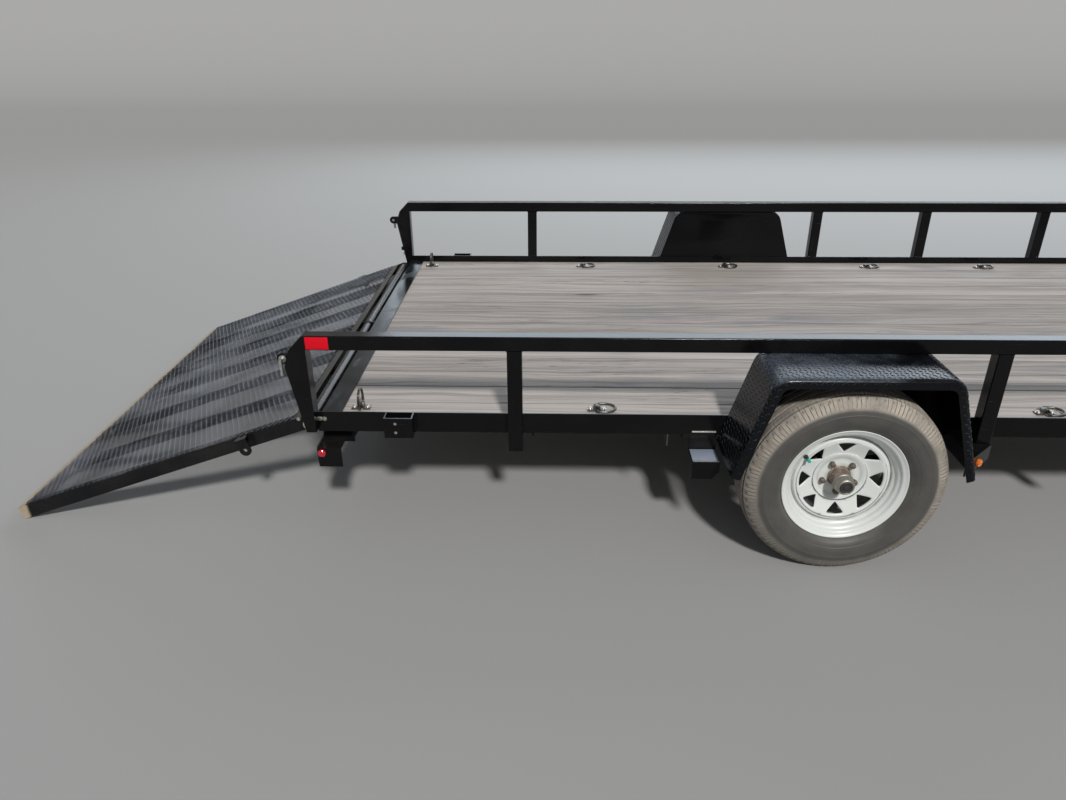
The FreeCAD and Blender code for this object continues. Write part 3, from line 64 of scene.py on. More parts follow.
def makeCamera(view):
    # forward, right and up from heading, pitch and roll, as the columns of the camera's own axes
    pitch, heading, roll = (math.radians(view[k]) for k in ("pitch", "heading", "roll"))
    forward = Vector((math.sin(heading) * math.cos(pitch), math.cos(heading) * math.cos(pitch),
                      -math.sin(pitch)))
    level = Vector((math.cos(heading), -math.sin(heading), 0))
    upright = level.cross(forward)
    right = level * math.cos(roll) + upright * math.sin(roll)
    up = upright * math.cos(roll) - level * math.sin(roll)
    data = bpy.data.cameras.new("photoCamera")
    data.sensor_width = view["sensor"]
    data.lens = view["focalPixels"] * view["sensor"] / view["imageWidth"]
    data.clip_end = 200
    camera = bpy.data.objects.new("photoCamera", data)
    scene.collection.objects.link(camera)
    turn = Matrix((right, up, -forward)).transposed().to_4x4()
    camera.matrix_world = Matrix.Translation(view["place"]) @ turn
    scene.camera = camera


studio = {
    "floorTone": (0.335, 0.333, 0.328),
    "floorRough": 0.9,
    "floorShine": 0.15,
    "worldTone": (0.90, 0.95, 1.0),
    "worldStrength": 0.30,
    # the floor runs back to a wall in one sweep: half width, front edge, start of the sweep, its radius, top
    "floorHalf": 300.0,
    "floorFront": -40.0,
    "sweepStart": 14.0,
    "sweepRadius": 9.0,
    "wallTop": 26.0,
    "sunFrom": (0.24, -0.95, 0.88),
    "sunWidth": 5.0,             # degrees, how soft its shadows are
    "sunStrength": 2.9,
    "sunTone": (1.0, 0.985, 0.96),
    # long panel behind the trailer: faces that look up mirror it towards the camera
    "panelPlace": (3.6, 7.5, 4.2),
    "panelTarget": (3.6, 0.0, 0.5),
    "panelSize": (15.0, 3.4),
    "panelPower": 520.0,
    "panelTone": (0.78, 0.89, 1.0),
}


def linked(name, data, place=(0, 0, 0)):
    made = bpy.data.objects.new(name, data)
    scene.collection.objects.link(made)
    made.location = place
    return made


def aimed(lamp, direction):
    # turn a lamp so that its light runs along a direction
    lamp.rotation_euler = Vector(direction).to_track_quat("-Z", "Y").to_euler()


def makeStudio(settings):
    scene.view_settings.view_transform = "Standard"
    world = bpy.data.worlds.new("studioWorld")
    scene.world = world
    world.use_nodes = True
    sky = world.node_tree.nodes["Background"]
    sky.inputs["Color"].default_value = (*settings["worldTone"], 1)
    sky.inputs["Strength"].default_value = settings["worldStrength"]
    # floor and wall: a profile of (y, z) carried from one side to the other
    turn = np.linspace(0, np.pi / 2, 25)
    start, radius, half = settings["sweepStart"], settings["sweepRadius"], settings["floorHalf"]
    y = np.concatenate([[settings["floorFront"]], start + radius * np.sin(turn), [start + radius]])
    z = np.concatenate([[0.0], radius * (1 - np.cos(turn)), [settings["wallTop"]]])
    rows = [[(side * half, y[i], z[i]) for i in range(len(y))] for side in (-1, 1)]
    count = len(y)
    floor = bpy.data.meshes.new("floor")
    floor.from_pydata(rows[0] + rows[1], [], [(i, count + i, count + i + 1, i + 1) for i in range(count - 1)])
    floor.polygons.foreach_set("use_smooth", np.ones(count - 1, bool))
    linked("floor", floor)
    paint = bpy.data.materials.new("floorPaint")
    paint.use_nodes = True
    shader = paint.node_tree.nodes["Principled BSDF"]
    shader.inputs["Base Color"].default_value = (*settings["floorTone"], 1)
    shader.inputs["Roughness"].default_value = settings["floorRough"]
    shader.inputs["Specular IOR Level"].default_value = settings["floorShine"]
    floor.materials.append(paint)
    sun = bpy.data.lights.new("sun", "SUN")
    sun.energy = settings["sunStrength"]
    sun.angle = math.radians(settings["sunWidth"])
    sun.color = settings["sunTone"]
    aimed(linked("sun", sun, settings["sunFrom"]), -Vector(settings["sunFrom"]))
    panel = bpy.data.lights.new("backPanel", "AREA")
    panel.shape = "RECTANGLE"
    panel.size, panel.size_y = settings["panelSize"]
    panel.energy = settings["panelPower"]
    panel.color = settings["panelTone"]
    place = Vector(settings["panelPlace"])
    lamp = linked("backPanel", panel, place)
    aimed(lamp, Vector(settings["panelTarget"]) - place)
    lamp.visible_camera = False


makeCamera(cameraView)
makeStudio(studio)
print("camera and studio ready")


# Mesh helpers: a surface is (points, [face arrays]), worked out as whole arrays

def gridSurface(points, closeU=False, closeV=False, capU=False):
    # points[u, v] joined into quads; capU closes the two ends of a tube with flat faces
    rows, columns = points.shape[:2]
    index = np.arange(rows * columns).reshape(rows, columns)
    wide = np.concatenate([index, index[:1]], 0) if closeU else index
    wide = np.concatenate([wide, wide[:, :1]], 1) if closeV else wide
    quads = np.stack([wide[:-1, :-1], wide[1:, :-1], wide[1:, 1:], wide[:-1, 1:]], -1).reshape(-1, 4)
    faces = [quads]
    if capU:
        faces += [index[:1], index[-1:, ::-1]]
    return points.reshape(-1, 3), faces


def joined(surfaces):
    points, faces, start = [], [], 0
    for part, partFaces in surfaces:
        points.append(part)
        faces += [f + start for f in partFaces]
        start += len(part)
    return np.concatenate(points), faces


def flipped(surface):
    points, faces = surface
    return points, [f[:, ::-1] for f in faces]


def mirrored(surface):
    # the same surface on the other side of the middle plane, still facing outwards
    points, faces = surface
    return points * (1, -1, 1), [f[:, ::-1] for f in faces]


bothSides = (("left", 1), ("right", -1))


def onSide(surface, side, place=0.0):
    # a surface drawn for the left (side 1), mirrored for the right (side -1), then moved to its place
    points, faces = surface if side > 0 else mirrored(surface)
    return points + place, faces


def fullTurn(count, start=0.0):
    return start + np.linspace(0, 2 * np.pi, count, endpoint=False)


def unit(rows):
    return rows / np.linalg.norm(rows, axis=1, keepdims=True)


def runOf(points):
    # distance run along a line of points, from its start to each of them
    return np.concatenate([[0], np.cumsum(np.linalg.norm(np.diff(points, axis=0), axis=1))])


def resampled(points, run, places):
    # the flat line's two coordinates at other places of its run
    return np.stack([np.interp(places, run, points[:, k]) for k in (0, 1)], 1)


def bellMean(points, bell):
    # running mean of a flat line, weighted by a bell
    return np.stack([np.convolve(points[:, k], bell / bell.sum(), "valid") for k in (0, 1)], 1)


def lathe(profile, steps):
    # profile of (radius, height) pairs turned about Z; radius 0 makes a pole
    profile = np.asarray(profile, float)
    turn = fullTurn(steps)[:, None]
    x, y = profile[:, 0] * np.cos(turn), profile[:, 0] * np.sin(turn)
    return gridSurface(np.stack([x, y, np.broadcast_to(profile[:, 1], x.shape)], -1), closeU=True)


def turned(profile, steps, phase=0.0):
    # profile of (radius, out) turned about the axle line, which is Y
    profile = np.asarray(profile, float)
    turn = fullTurn(steps, phase)[:, None]
    r, out = profile[:, 0], profile[:, 1]
    return np.stack([r * np.cos(turn), out + 0 * turn, r * np.sin(turn)], -1)


def tube(path, radius, sides=10, closedPath=False):
    # circle of the given radius (one value or one for each point) carried along a path of points
    path = np.asarray(path, float)
    steps = np.roll(path, -1, 0) - np.roll(path, 1, 0) if closedPath else np.gradient(path, axis=0)
    along = unit(steps)
    side = unit(np.cross(along, np.eye(3)[np.argmin(np.abs(along).mean(0))]))
    up = np.cross(side, along)
    turn = fullTurn(sides)[None, :, None]
    size = np.broadcast_to(np.asarray(radius, float), len(path))[:, None, None]
    ring = side[:, None] * np.cos(turn) + up[:, None] * np.sin(turn)
    return gridSurface(path[:, None] + size * ring, closeU=closedPath, closeV=True, capU=not closedPath)


def surfaceOf(work):
    # points and faces of a bmesh, which is freed; faces with as many corners as each other go together
    points = np.array([v.co[:] for v in work.verts])
    bySize = {}
    for face in work.faces:
        bySize.setdefault(len(face.verts), []).append([v.index for v in face.verts])
    work.free()
    return points, [np.array(f) for f in bySize.values()]


def roundedBox(low, high, radius):
    # a box with all its edges bevelled round in two steps
    work = bmesh.new()
    bmesh.ops.create_cube(work, size=1)
    low, high = np.asarray(low, float), np.asarray(high, float)
    bmesh.ops.scale(work, vec=high - low, verts=work.verts)
    bmesh.ops.translate(work, vec=(low + high) / 2, verts=work.verts)
    bmesh.ops.bevel(work, geom=work.edges[:], offset=radius, segments=2, profile=0.5, affect="EDGES")
    return surfaceOf(work)


def weldedSurface(surface, near=2e-5):
    # the same surface with touching points made one and its faces turned outwards
    points, faces = surface
    mesh = bpy.data.meshes.new("weldWork")
    mesh.from_pydata(points.tolist(), [], [f for group in faces for f in group.tolist()])
    work = bmesh.new()
    work.from_mesh(mesh)
    bmesh.ops.remove_doubles(work, verts=work.verts, dist=near)
    bmesh.ops.recalc_face_normals(work, faces=work.faces)
    bpy.data.meshes.remove(mesh)
    return surfaceOf(work)


def turnedAlong(foot, direction, profile, sides=16):
    # profile of (distance, radius) turned about a direction from a foot, poles closed
    profile = np.asarray(profile, float)
    side = np.cross(direction, (0.31, 0.17, 0.93))
    side /= np.linalg.norm(side)
    up = np.cross(direction, side)
    turn = fullTurn(sides)[:, None]
    ring = side * np.cos(turn) + up * np.sin(turn)
    points = np.asarray(foot) + profile[:, :1, None] * direction + profile[:, 1:2, None] * ring[None]
    return weldedSurface(gridSurface(points, closeV=True))


def makePiece(name, surface, body, material, replaces=(), slotName=None, smooth=40, attributes=None):
    # an object from a surface: smooth below an angle in degrees, riding on a body
    points, faces = surface
    mesh = bpy.data.meshes.new(name)
    mesh.vertices.add(len(points))
    mesh.vertices.foreach_set("co", np.ascontiguousarray(points, np.float32).ravel())
    loops = np.concatenate([f.ravel() for f in faces]).astype(np.int32)
    totals = np.concatenate([np.full(len(f), f.shape[1]) for f in faces]).astype(np.int32)
    mesh.loops.add(len(loops))
    mesh.loops.foreach_set("vertex_index", loops)
    mesh.polygons.add(len(totals))
    mesh.polygons.foreach_set("loop_start", np.concatenate([[0], np.cumsum(totals)[:-1]]).astype(np.int32))
    mesh.update(calc_edges=True)
    mesh.validate()
    for label, values in (attributes or {}).items():
        mesh.attributes.new(label, "FLOAT", "POINT").data.foreach_set("value", np.asarray(values, np.float32))
    mesh.polygons.foreach_set("use_smooth", np.ones(len(mesh.polygons), bool))
    mesh.set_sharp_from_angle(angle=math.radians(smooth))
    mesh.materials.append(material)
    piece = bpy.data.objects.new(name, mesh)
    scene.collection.objects.link(piece)
    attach(piece, body)
    if replaces:
        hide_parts(*replaces)
    return piece


def nodePoints(name):
    mesh = nodes[name].data
    points = np.empty(len(mesh.vertices) * 3, np.float32)
    mesh.vertices.foreach_get("co", points)
    return points.reshape(-1, 3).astype(float)


def stretches(name, axis, side=0):
    # where the solids of a node lie along one axis, as (low, high) pairs; side -1 or 1 keeps one side
    mesh = nodes[name].data
    mesh.calc_loop_triangles()
    index = np.empty(len(mesh.loop_triangles) * 3, np.int32)
    mesh.loop_triangles.foreach_get("vertices", index)
    corners = nodePoints(name)[index.reshape(-1, 3)]
    if side:
        corners = corners[corners[:, :, 1].mean(1) * side > 0]
    spans = np.stack([corners[:, :, axis].min(1), corners[:, :, axis].max(1)], 1)
    spans = spans[np.argsort(spans[:, 0])]
    found = []
    for low, high in spans:
        if found and low <= found[-1][1] + 1e-4:
            found[-1][1] = max(found[-1][1], high)
        else:
            found.append([low, high])
    return found


# Shader helpers

def put(tree, kind, inputs=None, **settings):
    # adds a node; each input is a plain value or another node's output
    made = tree.nodes.new("ShaderNode" + kind)
    for key, value in settings.items():
        setattr(made, key, value)
    for key, value in (inputs or {}).items():
        if isinstance(value, bpy.types.NodeSocket):
            tree.links.new(value, made.inputs[key])
        else:
            made.inputs[key].default_value = value
    return made


def calc(tree, operation, *values, clamp=False):
    return put(tree, "Math", dict(enumerate(values)), operation=operation, use_clamp=clamp).outputs[0]


def plus(tree, *values, clamp=False):
    return calc(tree, "ADD", *values, clamp=clamp)


def times(tree, *values, clamp=False):
    return calc(tree, "MULTIPLY", *values, clamp=clamp)


def mapped(tree, value, fromLow, fromHigh, toLow=0.0, toHigh=1.0):
    # smooth step from one range to another
    made = put(tree, "MapRange", {"Value": value, "From Min": fromLow, "From Max": fromHigh,
                                  "To Min": toLow, "To Max": toHigh}, interpolation_type="SMOOTHSTEP")
    return made.outputs["Result"]


def mixed(tree, share, first, second):
    # each colour is (r, g, b) or another node's output
    first, second = [(*c, 1) if isinstance(c, tuple) else c for c in (first, second)]
    return put(tree, "Mix", {0: share, 6: first, 7: second}, data_type="RGBA").outputs[2]


def objectPlace(tree):
    return put(tree, "TexCoord").outputs["Object"]


def attribute(tree, name):
    return put(tree, "Attribute", attribute_name=name).outputs["Fac"]


def stretched(tree, scale, place=None):
    # object coordinates times a scale along each axis
    place = place or objectPlace(tree)
    return put(tree, "VectorMath", {0: place, 1: scale}, operation="MULTIPLY").outputs[0]


def noise(tree, place, scale, detail=3.0, rough=0.55, distortion=0.0, seed=None):
    inputs = {"Vector": place, "Scale": scale, "Detail": detail, "Roughness": rough, "Distortion": distortion}
    if seed is not None:
        inputs["W"] = seed
    return put(tree, "TexNoise", inputs, noise_dimensions="3D" if seed is None else "4D").outputs["Fac"]


def startGroup(name, inputs, outputs):
    tree = bpy.data.node_groups.new(name, "ShaderNodeTree")
    for label, value in inputs.items():
        tree.interface.new_socket(label, in_out="INPUT", socket_type="NodeSocketFloat").default_value = value
    for label in outputs:
        tree.interface.new_socket(label, in_out="OUTPUT", socket_type="NodeSocketFloat")
    return tree, tree.nodes.new("NodeGroupInput").outputs, tree.nodes.new("NodeGroupOutput").inputs


def useGroup(tree, group, inputs):
    return put(tree, "Group", inputs, node_tree=group).outputs


def dustAndSkyGroup():
    # dust that lies in soft patches, more of it on faces that look up; given a sky tone it is a painted sky
    # reflection on those faces
    tree, given, out = startGroup("dustAndSkyFilm", {"Patches": 4.0, "Everywhere": 0.1, "On Top": 0.2}, ("Mask",))
    coordinates = put(tree, "TexCoord").outputs
    patches = noise(tree, coordinates["Object"], given["Patches"], 5.0, 0.6)
    specks = noise(tree, coordinates["Object"], 160.0, 2.0, 0.7)
    up = put(tree, "SeparateXYZ", {0: coordinates["Normal"]}).outputs["Z"]
    lying = times(tree, mapped(tree, up, 0.3, 0.9), given["On Top"])
    film = plus(tree, lying, given["Everywhere"])
    spread = times(tree, mapped(tree, patches, 0.32, 0.72), film)
    grain = mapped(tree, specks, 0.3, 0.75, 0.55, 1.25)
    tree.links.new(times(tree, spread, grain, clamp=True), out["Mask"])
    return tree


def skinGroup():
    # height of sprayed paint: fine orange peel with a slow waviness
    tree, given, out = startGroup("paintSkin", {"Peel": 420.0, "Wave": 22.0}, ("Height",))
    place = objectPlace(tree)
    fine = noise(tree, place, given["Peel"], 2.0, 0.5)
    slow = noise(tree, place, given["Wave"], 2.0, 0.5)
    tree.links.new(plus(tree, fine, times(tree, slow, 1.6)), out["Height"])
    return tree


def scuffGroup():
    # thin scratches that run both ways, and rubbed patches
    tree, given, out = startGroup("scuffMarks", {"Spread": 3.0, "Amount": 0.5}, ("Scratches", "Rubbed"))
    place = objectPlace(tree)
    lines = []
    for scale in ((9.0, 260.0, 260.0), (240.0, 11.0, 240.0)):
        streak = noise(tree, stretched(tree, scale, place), 1.0, 2.0, 0.5, 0.6)
        lines.append(mapped(tree, streak, 0.70, 0.735))
    both = calc(tree, "MAXIMUM", *lines)
    where = mapped(tree, noise(tree, place, given["Spread"], 4.0, 0.6), 0.48, 0.66)
    tree.links.new(times(tree, times(tree, both, where), given["Amount"]), out["Scratches"])
    tree.links.new(times(tree, where, given["Amount"]), out["Rubbed"])
    return tree


dustAndSkyFilm, paintSkin, scuffMarks = dustAndSkyGroup(), skinGroup(), scuffGroup()


def startMaterial(name, **shaderValues):
    made = bpy.data.materials.new(name)
    made.use_nodes = True
    shader = made.node_tree.nodes["Principled BSDF"]
    for key, value in shaderValues.items():
        shader.inputs[key].default_value = value
    return made, made.node_tree, shader


def feed(tree, shader, **sockets):
    for key, value in sockets.items():
        tree.links.new(value, shader.inputs[key.replace("_", " ")])


def bumped(tree, height, strength, distance=0.001, after=None):
    inputs = {"Height": height, "Strength": strength, "Distance": distance}
    if after is not None:
        inputs["Normal"] = after
    return put(tree, "Bump", inputs).outputs["Normal"]


paints = {
    # name: (colour, gloss roughness, dust everywhere, dust on top, dust tone, scuffs, cloudy smears, shine);
    # the mesh's and fender's dust on top is painted sky reflection, the sill's smears partly so
    "blackPaint": ((0.0022, 0.0023, 0.0030), 0.12, 0.015, 0.06, (0.20, 0.18, 0.15), 0.35, 0.0, 0.20),
    # sill: its cloudy bluish smears are partly real smears, partly a painted reflection of the sky
    "sillPaint": ((0.0030, 0.0042, 0.0050), 0.13, 0.02, 0.06, (0.14, 0.16, 0.16), 0.9, 0.60, 0.20),
    "rampPaint": ((0.0035, 0.0038, 0.0050), 0.20, 0.06, 0.14, (0.20, 0.18, 0.15), 0.6, 0.0, 0.24),
    # mesh: its grey-blue dust on top is partly real dust, partly a painted sky reflection
    "meshPaint": ((0.0150, 0.0168, 0.0230), 0.20, 0.12, 0.80, (0.270, 0.285, 0.325), 0.3, 0.0, 0.45),
    # fender: its bluish film on top is a painted sky reflection on the tread plate
    "fenderPaint": ((0.0018, 0.0021, 0.0032), 0.14, 0.01, 0.66, (0.155, 0.182, 0.230), 0.25, 0.0, 0.24),
    "underPaint": ((0.0110, 0.0110, 0.0115), 0.42, 0.35, 0.45, (0.17, 0.145, 0.115), 0.3, 0.0, 0.30),
    "springSteel": ((0.0240, 0.0240, 0.0250), 0.40, 0.40, 0.40, (0.17, 0.14, 0.11), 0.5, 0.0, 0.30),
}


def makePaint(name, wornTip=False):
    tone, gloss, everywhere, onTop, dustAndSkyTone, scuffs, smearsAndSheen, shine = paints[name]
    made, tree, shader = startMaterial(name, **{"Specular IOR Level": shine})
    # dust, and on the mesh and fender a painted sky reflection on the faces that look up
    dustAndPaintedLight = useGroup(tree, dustAndSkyFilm, {"Patches": 3.5, "Everywhere": everywhere, "On Top": onTop})["Mask"]
    marks = useGroup(tree, scuffMarks, {"Spread": 2.4, "Amount": scuffs})
    colour = mixed(tree, times(tree, marks["Scratches"], 0.6), tone, (0.13, 0.13, 0.135))
    rough = plus(tree, times(tree, marks["Rubbed"], 0.10), gloss)
    if smearsAndSheen:
        # cloudy smears, partly a painted reflection of the sky: lighter bluish patches and rougher paint
        cloudySheen = noise(tree, stretched(tree, (9.0, 3.2, 9.0)), 1.0, 4.0, 0.55, 0.8)
        cloudySheen = times(tree, mapped(tree, cloudySheen, 0.50, 0.64), smearsAndSheen)
        colour = mixed(tree, times(tree, cloudySheen, 0.7), colour, (0.052, 0.070, 0.078))
        rough = plus(tree, rough, times(tree, cloudySheen, 0.28))
    colour = mixed(tree, dustAndPaintedLight, colour, dustAndSkyTone)
    if wornTip:
        colour, rough = wornTipOf(tree, colour, rough)
    rough = plus(tree, rough, times(tree, dustAndPaintedLight, 0.5), clamp=True)
    skin = useGroup(tree, paintSkin, {"Peel": 420.0, "Wave": 26.0})["Height"]
    feed(tree, shader, Base_Color=colour, Roughness=rough, Normal=bumped(tree, skin, 0.22, 0.0006))
    return made


def wornTipOf(tree, colour, rough):
    # the ramp's tip drags on the ground: paint gone down to dusty tan steel
    place = objectPlace(tree)
    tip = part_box("ramp_frame")[0].x
    x = put(tree, "SeparateXYZ", {0: place}).outputs["X"]
    ragged = noise(tree, stretched(tree, (20.0, 9.0, 20.0), place), 1.0, 5.0, 0.65)
    edge = plus(tree, x, times(tree, ragged, -0.016))
    worn = mapped(tree, edge, tip + 0.040, tip + 0.024)
    tan = mixed(tree, ragged, (0.21, 0.165, 0.115), (0.50, 0.42, 0.31))
    return mixed(tree, worn, colour, tan), plus(tree, rough, times(tree, worn, 0.45))


def makeWood():
    # weathered softwood: grain lines along each board, knots that bend them, checks, grey patches and dirt
    made, tree, shader = startMaterial("deckWood", **{"Specular IOR Level": 0.25})
    place = objectPlace(tree)
    seed = times(tree, attribute(tree, "boardSeed"), 37.0)
    across = attribute(tree, "boardAcross")
    long = stretched(tree, (1.15, 8.0, 8.0), place)
    cells = put(tree, "TexVoronoi", {"Vector": long, "Scale": 1.0, "W": seed}, voronoi_dimensions="4D")
    knot = mapped(tree, cells.outputs["Distance"], 0.20, 0.035)
    core = mapped(tree, cells.outputs["Distance"], 0.085, 0.045)
    bend = times(tree, knot, 0.35)
    wavy = noise(tree, stretched(tree, (1.1, 5.0, 5.0), place), 1.0, 3.0, 0.5, 0.0, seed)
    flow = put(tree, "CombineXYZ", {1: plus(tree, times(tree, wavy, 1.1), bend)}).outputs[0]
    lines = stretched(tree, (0.9, 62.0, 62.0), place)
    grainPlace = put(tree, "VectorMath", {0: lines, 1: stretched(tree, (0, 9.0, 0), flow)}).outputs[0]
    grain = noise(tree, grainPlace, 1.0, 4.0, 0.62, 0.25, seed)
    fibre = noise(tree, stretched(tree, (7.0, 620.0, 620.0), place), 1.0, 3.0, 0.7, 0.0, seed)
    patch = noise(tree, stretched(tree, (1.3, 5.5, 5.5), place), 1.0, 4.0, 0.6, 0.4, seed)
    tone = put(tree, "TexWhiteNoise", {"W": seed}, noise_dimensions="1D").outputs["Value"]
    bands = mapped(tree, grain, 0.36, 0.66)
    colour = mixed(tree, bands, (0.405, 0.364, 0.335), (0.238, 0.209, 0.192))
    colour = mixed(tree, mapped(tree, fibre, 0.35, 0.75, 0.0, 0.45), colour, (0.430, 0.395, 0.366))
    colour = mixed(tree, mapped(tree, patch, 0.50, 0.70, 0.0, 0.66), colour, (0.205, 0.200, 0.212))
    shade = put(tree, "HueSaturation", {"Color": colour, "Value": mapped(tree, tone, 0.0, 1.0, 0.86, 1.10),
                                        "Saturation": 0.92})
    colour = shade.outputs["Color"]
    colour = mixed(tree, times(tree, knot, 0.45), colour, (0.150, 0.100, 0.070))
    colour = mixed(tree, times(tree, core, 0.8), colour, (0.055, 0.036, 0.026))
    crack = noise(tree, stretched(tree, (1.6, 75.0, 75.0), place), 1.0, 3.0, 0.45, 0.5, seed)
    crackLine = mapped(tree, calc(tree, "ABSOLUTE", calc(tree, "SUBTRACT", crack, 0.5)), 0.010, 0.003)
    where = noise(tree, stretched(tree, (0.9, 7.0, 7.0), place), 1.0, 2.0, 0.5, 0.0, seed)
    crackLine = times(tree, crackLine, mapped(tree, where, 0.54, 0.64))
    colour = mixed(tree, times(tree, crackLine, 0.85), colour, (0.045, 0.036, 0.032))
    rim = mapped(tree, calc(tree, "ABSOLUTE", across), 0.965, 1.0)
    rim = times(tree, rim, mapped(tree, wavy, 0.3, 0.7, 0.45, 1.0))
    colour = mixed(tree, times(tree, rim, 0.7), colour, (0.085, 0.070, 0.062))
    height = plus(tree, times(tree, grain, 0.5), times(tree, fibre, 0.35))
    height = calc(tree, "SUBTRACT", height, times(tree, crackLine, 1.6))
    rough = mapped(tree, bands, 0.0, 1.0, 0.70, 0.84)
    feed(tree, shader, Base_Color=colour, Roughness=rough, Normal=bumped(tree, height, 0.55, 0.0012))
    return made


def makeRubber():
    # tyre rubber, browned by dust where the attribute says that the road reaches; the attribute also carries
    # painted light, with more dust round the lit upper front
    made, tree, shader = startMaterial("tyreRubber", **{"Specular IOR Level": 0.35})
    place = objectPlace(tree)
    dustWithPaintedLight = attribute(tree, "roadDustAndPaintedLight")
    band = attribute(tree, "shoulderBand")
    soft = noise(tree, place, 14.0, 5.0, 0.62)
    fine = noise(tree, place, 190.0, 3.0, 0.6)
    share = times(tree, dustWithPaintedLight, mapped(tree, soft, 0.25, 0.75, 0.45, 1.0), clamp=True)
    rubber = mixed(tree, soft, (0.0480, 0.0465, 0.0450), (0.0780, 0.0755, 0.0715))
    brown = mixed(tree, fine, (0.330, 0.290, 0.240), (0.590, 0.525, 0.445))
    colour = mixed(tree, share, rubber, brown)
    # sipes: the turn about the axle times their number, each a dark line in the middle of its share
    low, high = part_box("tyre_right")
    spot = put(tree, "SeparateXYZ", {0: place}).outputs
    x = calc(tree, "SUBTRACT", spot["X"], (low[0] + high[0]) / 2)
    z = calc(tree, "SUBTRACT", spot["Z"], (low[2] + high[2]) / 2)
    turn = times(tree, calc(tree, "ARCTAN2", z, x), tyreSizes["pitches"] / math.pi)
    turn = plus(tree, turn, times(tree, noise(tree, place, 60.0, 2.0), 0.25))
    fromMiddle = calc(tree, "ABSOLUTE", calc(tree, "SUBTRACT", calc(tree, "FRACT", turn), 0.5))
    line = mapped(tree, fromMiddle, 0.13, 0.06)
    sipe = times(tree, line, times(tree, band, mapped(tree, soft, 0.40, 0.62, 0.12, 1.0)))
    colour = mixed(tree, times(tree, sipe, 0.80), colour, (0.030, 0.027, 0.024))
    rough = mapped(tree, share, 0.0, 1.0, 0.50, 0.86)
    height = calc(tree, "SUBTRACT", times(tree, fine, 0.3), sipe)
    feed(tree, shader, Base_Color=colour, Roughness=rough, Normal=bumped(tree, height, 0.5, 0.0010))
    return made


def makeRimPaint():
    # light grey wheel paint, darkened brown in its corners, round the hub and on its inner side by dirt and
    # painted shade, with brown splashes
    made, tree, shader = startMaterial("rimPaint", **{"Coat Weight": 0.15, "Coat Roughness": 0.2})
    place = objectPlace(tree)
    grime = attribute(tree, "grime")
    soft = noise(tree, place, 18.0, 5.0, 0.65)
    specks = noise(tree, place, 240.0, 2.0, 0.6)
    share = times(tree, grime, mapped(tree, soft, 0.3, 0.7, 0.25, 1.0), clamp=True)
    film = plus(tree, share, mapped(tree, specks, 0.66, 0.74, 0.0, 0.18), clamp=True)
    colour = mixed(tree, film, (0.660, 0.685, 0.662), (0.205, 0.175, 0.140))
    rough = mapped(tree, film, 0.0, 1.0, 0.34, 0.80)
    skin = useGroup(tree, paintSkin, {"Peel": 500.0, "Wave": 60.0})["Height"]
    feed(tree, shader, Base_Color=colour, Roughness=rough, Normal=bumped(tree, skin, 0.15, 0.0005))
    return made


def makeIron():
    # hub casting: brown film of rust and dust over grey iron
    made, tree, shader = startMaterial("hubIron")
    place = objectPlace(tree)
    soft = noise(tree, place, 38.0, 6.0, 0.68)
    fine = noise(tree, place, 230.0, 4.0, 0.7)
    colour = mixed(tree, mapped(tree, soft, 0.35, 0.65), (0.105, 0.075, 0.052), (0.265, 0.215, 0.170))
    colour = mixed(tree, mapped(tree, fine, 0.58, 0.72, 0.0, 0.7), colour, (0.215, 0.080, 0.030))
    metal = mapped(tree, soft, 0.55, 0.75, 0.0, 0.35)
    height = plus(tree, soft, times(tree, fine, 0.6))
    feed(tree, shader, Base_Color=colour, Metallic=metal, Roughness=mapped(tree, soft, 0.3, 0.7, 0.85, 0.55),
         Normal=bumped(tree, height, 0.6, 0.0012))
    return made


def makeZinc(name, bright, stain):
    # zinc plate: faint crystals, dull patches and a little yellow or brown stain
    made, tree, shader = startMaterial(name, Metallic=1.0)
    place = objectPlace(tree)
    cells = put(tree, "TexVoronoi", {"Vector": place, "Scale": 170.0}).outputs["Color"]
    flake = put(tree, "SeparateColor", {0: cells}).outputs[0]
    soft = noise(tree, place, 46.0, 5.0, 0.65)
    colour = mixed(tree, times(tree, flake, 0.5), bright, tuple(0.72 * c for c in bright))
    colour = mixed(tree, mapped(tree, soft, 0.50, 0.72, 0.0, stain), colour, (0.200, 0.150, 0.095))
    feed(tree, shader, Base_Color=colour, Roughness=mapped(tree, soft, 0.3, 0.7, 0.26, 0.50),
         Normal=bumped(tree, soft, 0.15, 0.0006))
    return made


def makeLens(name, tone, deep):
    # moulded lens: small pillow optics under a glossy face
    made, tree, shader = startMaterial(name, **{"Roughness": 0.12, "Coat Weight": 0.6, "Coat Roughness": 0.03,
                                                "Subsurface Weight": 0.0})
    place = objectPlace(tree)
    pillows = put(tree, "TexVoronoi", {"Vector": place, "Scale": 210.0}, feature="SMOOTH_F1")
    cells = pillows.outputs["Distance"]
    colour = mixed(tree, mapped(tree, cells, 0.1, 0.6), tone, deep)
    feed(tree, shader, Base_Color=colour, Normal=bumped(tree, cells, 0.35, 0.0012))
    return made


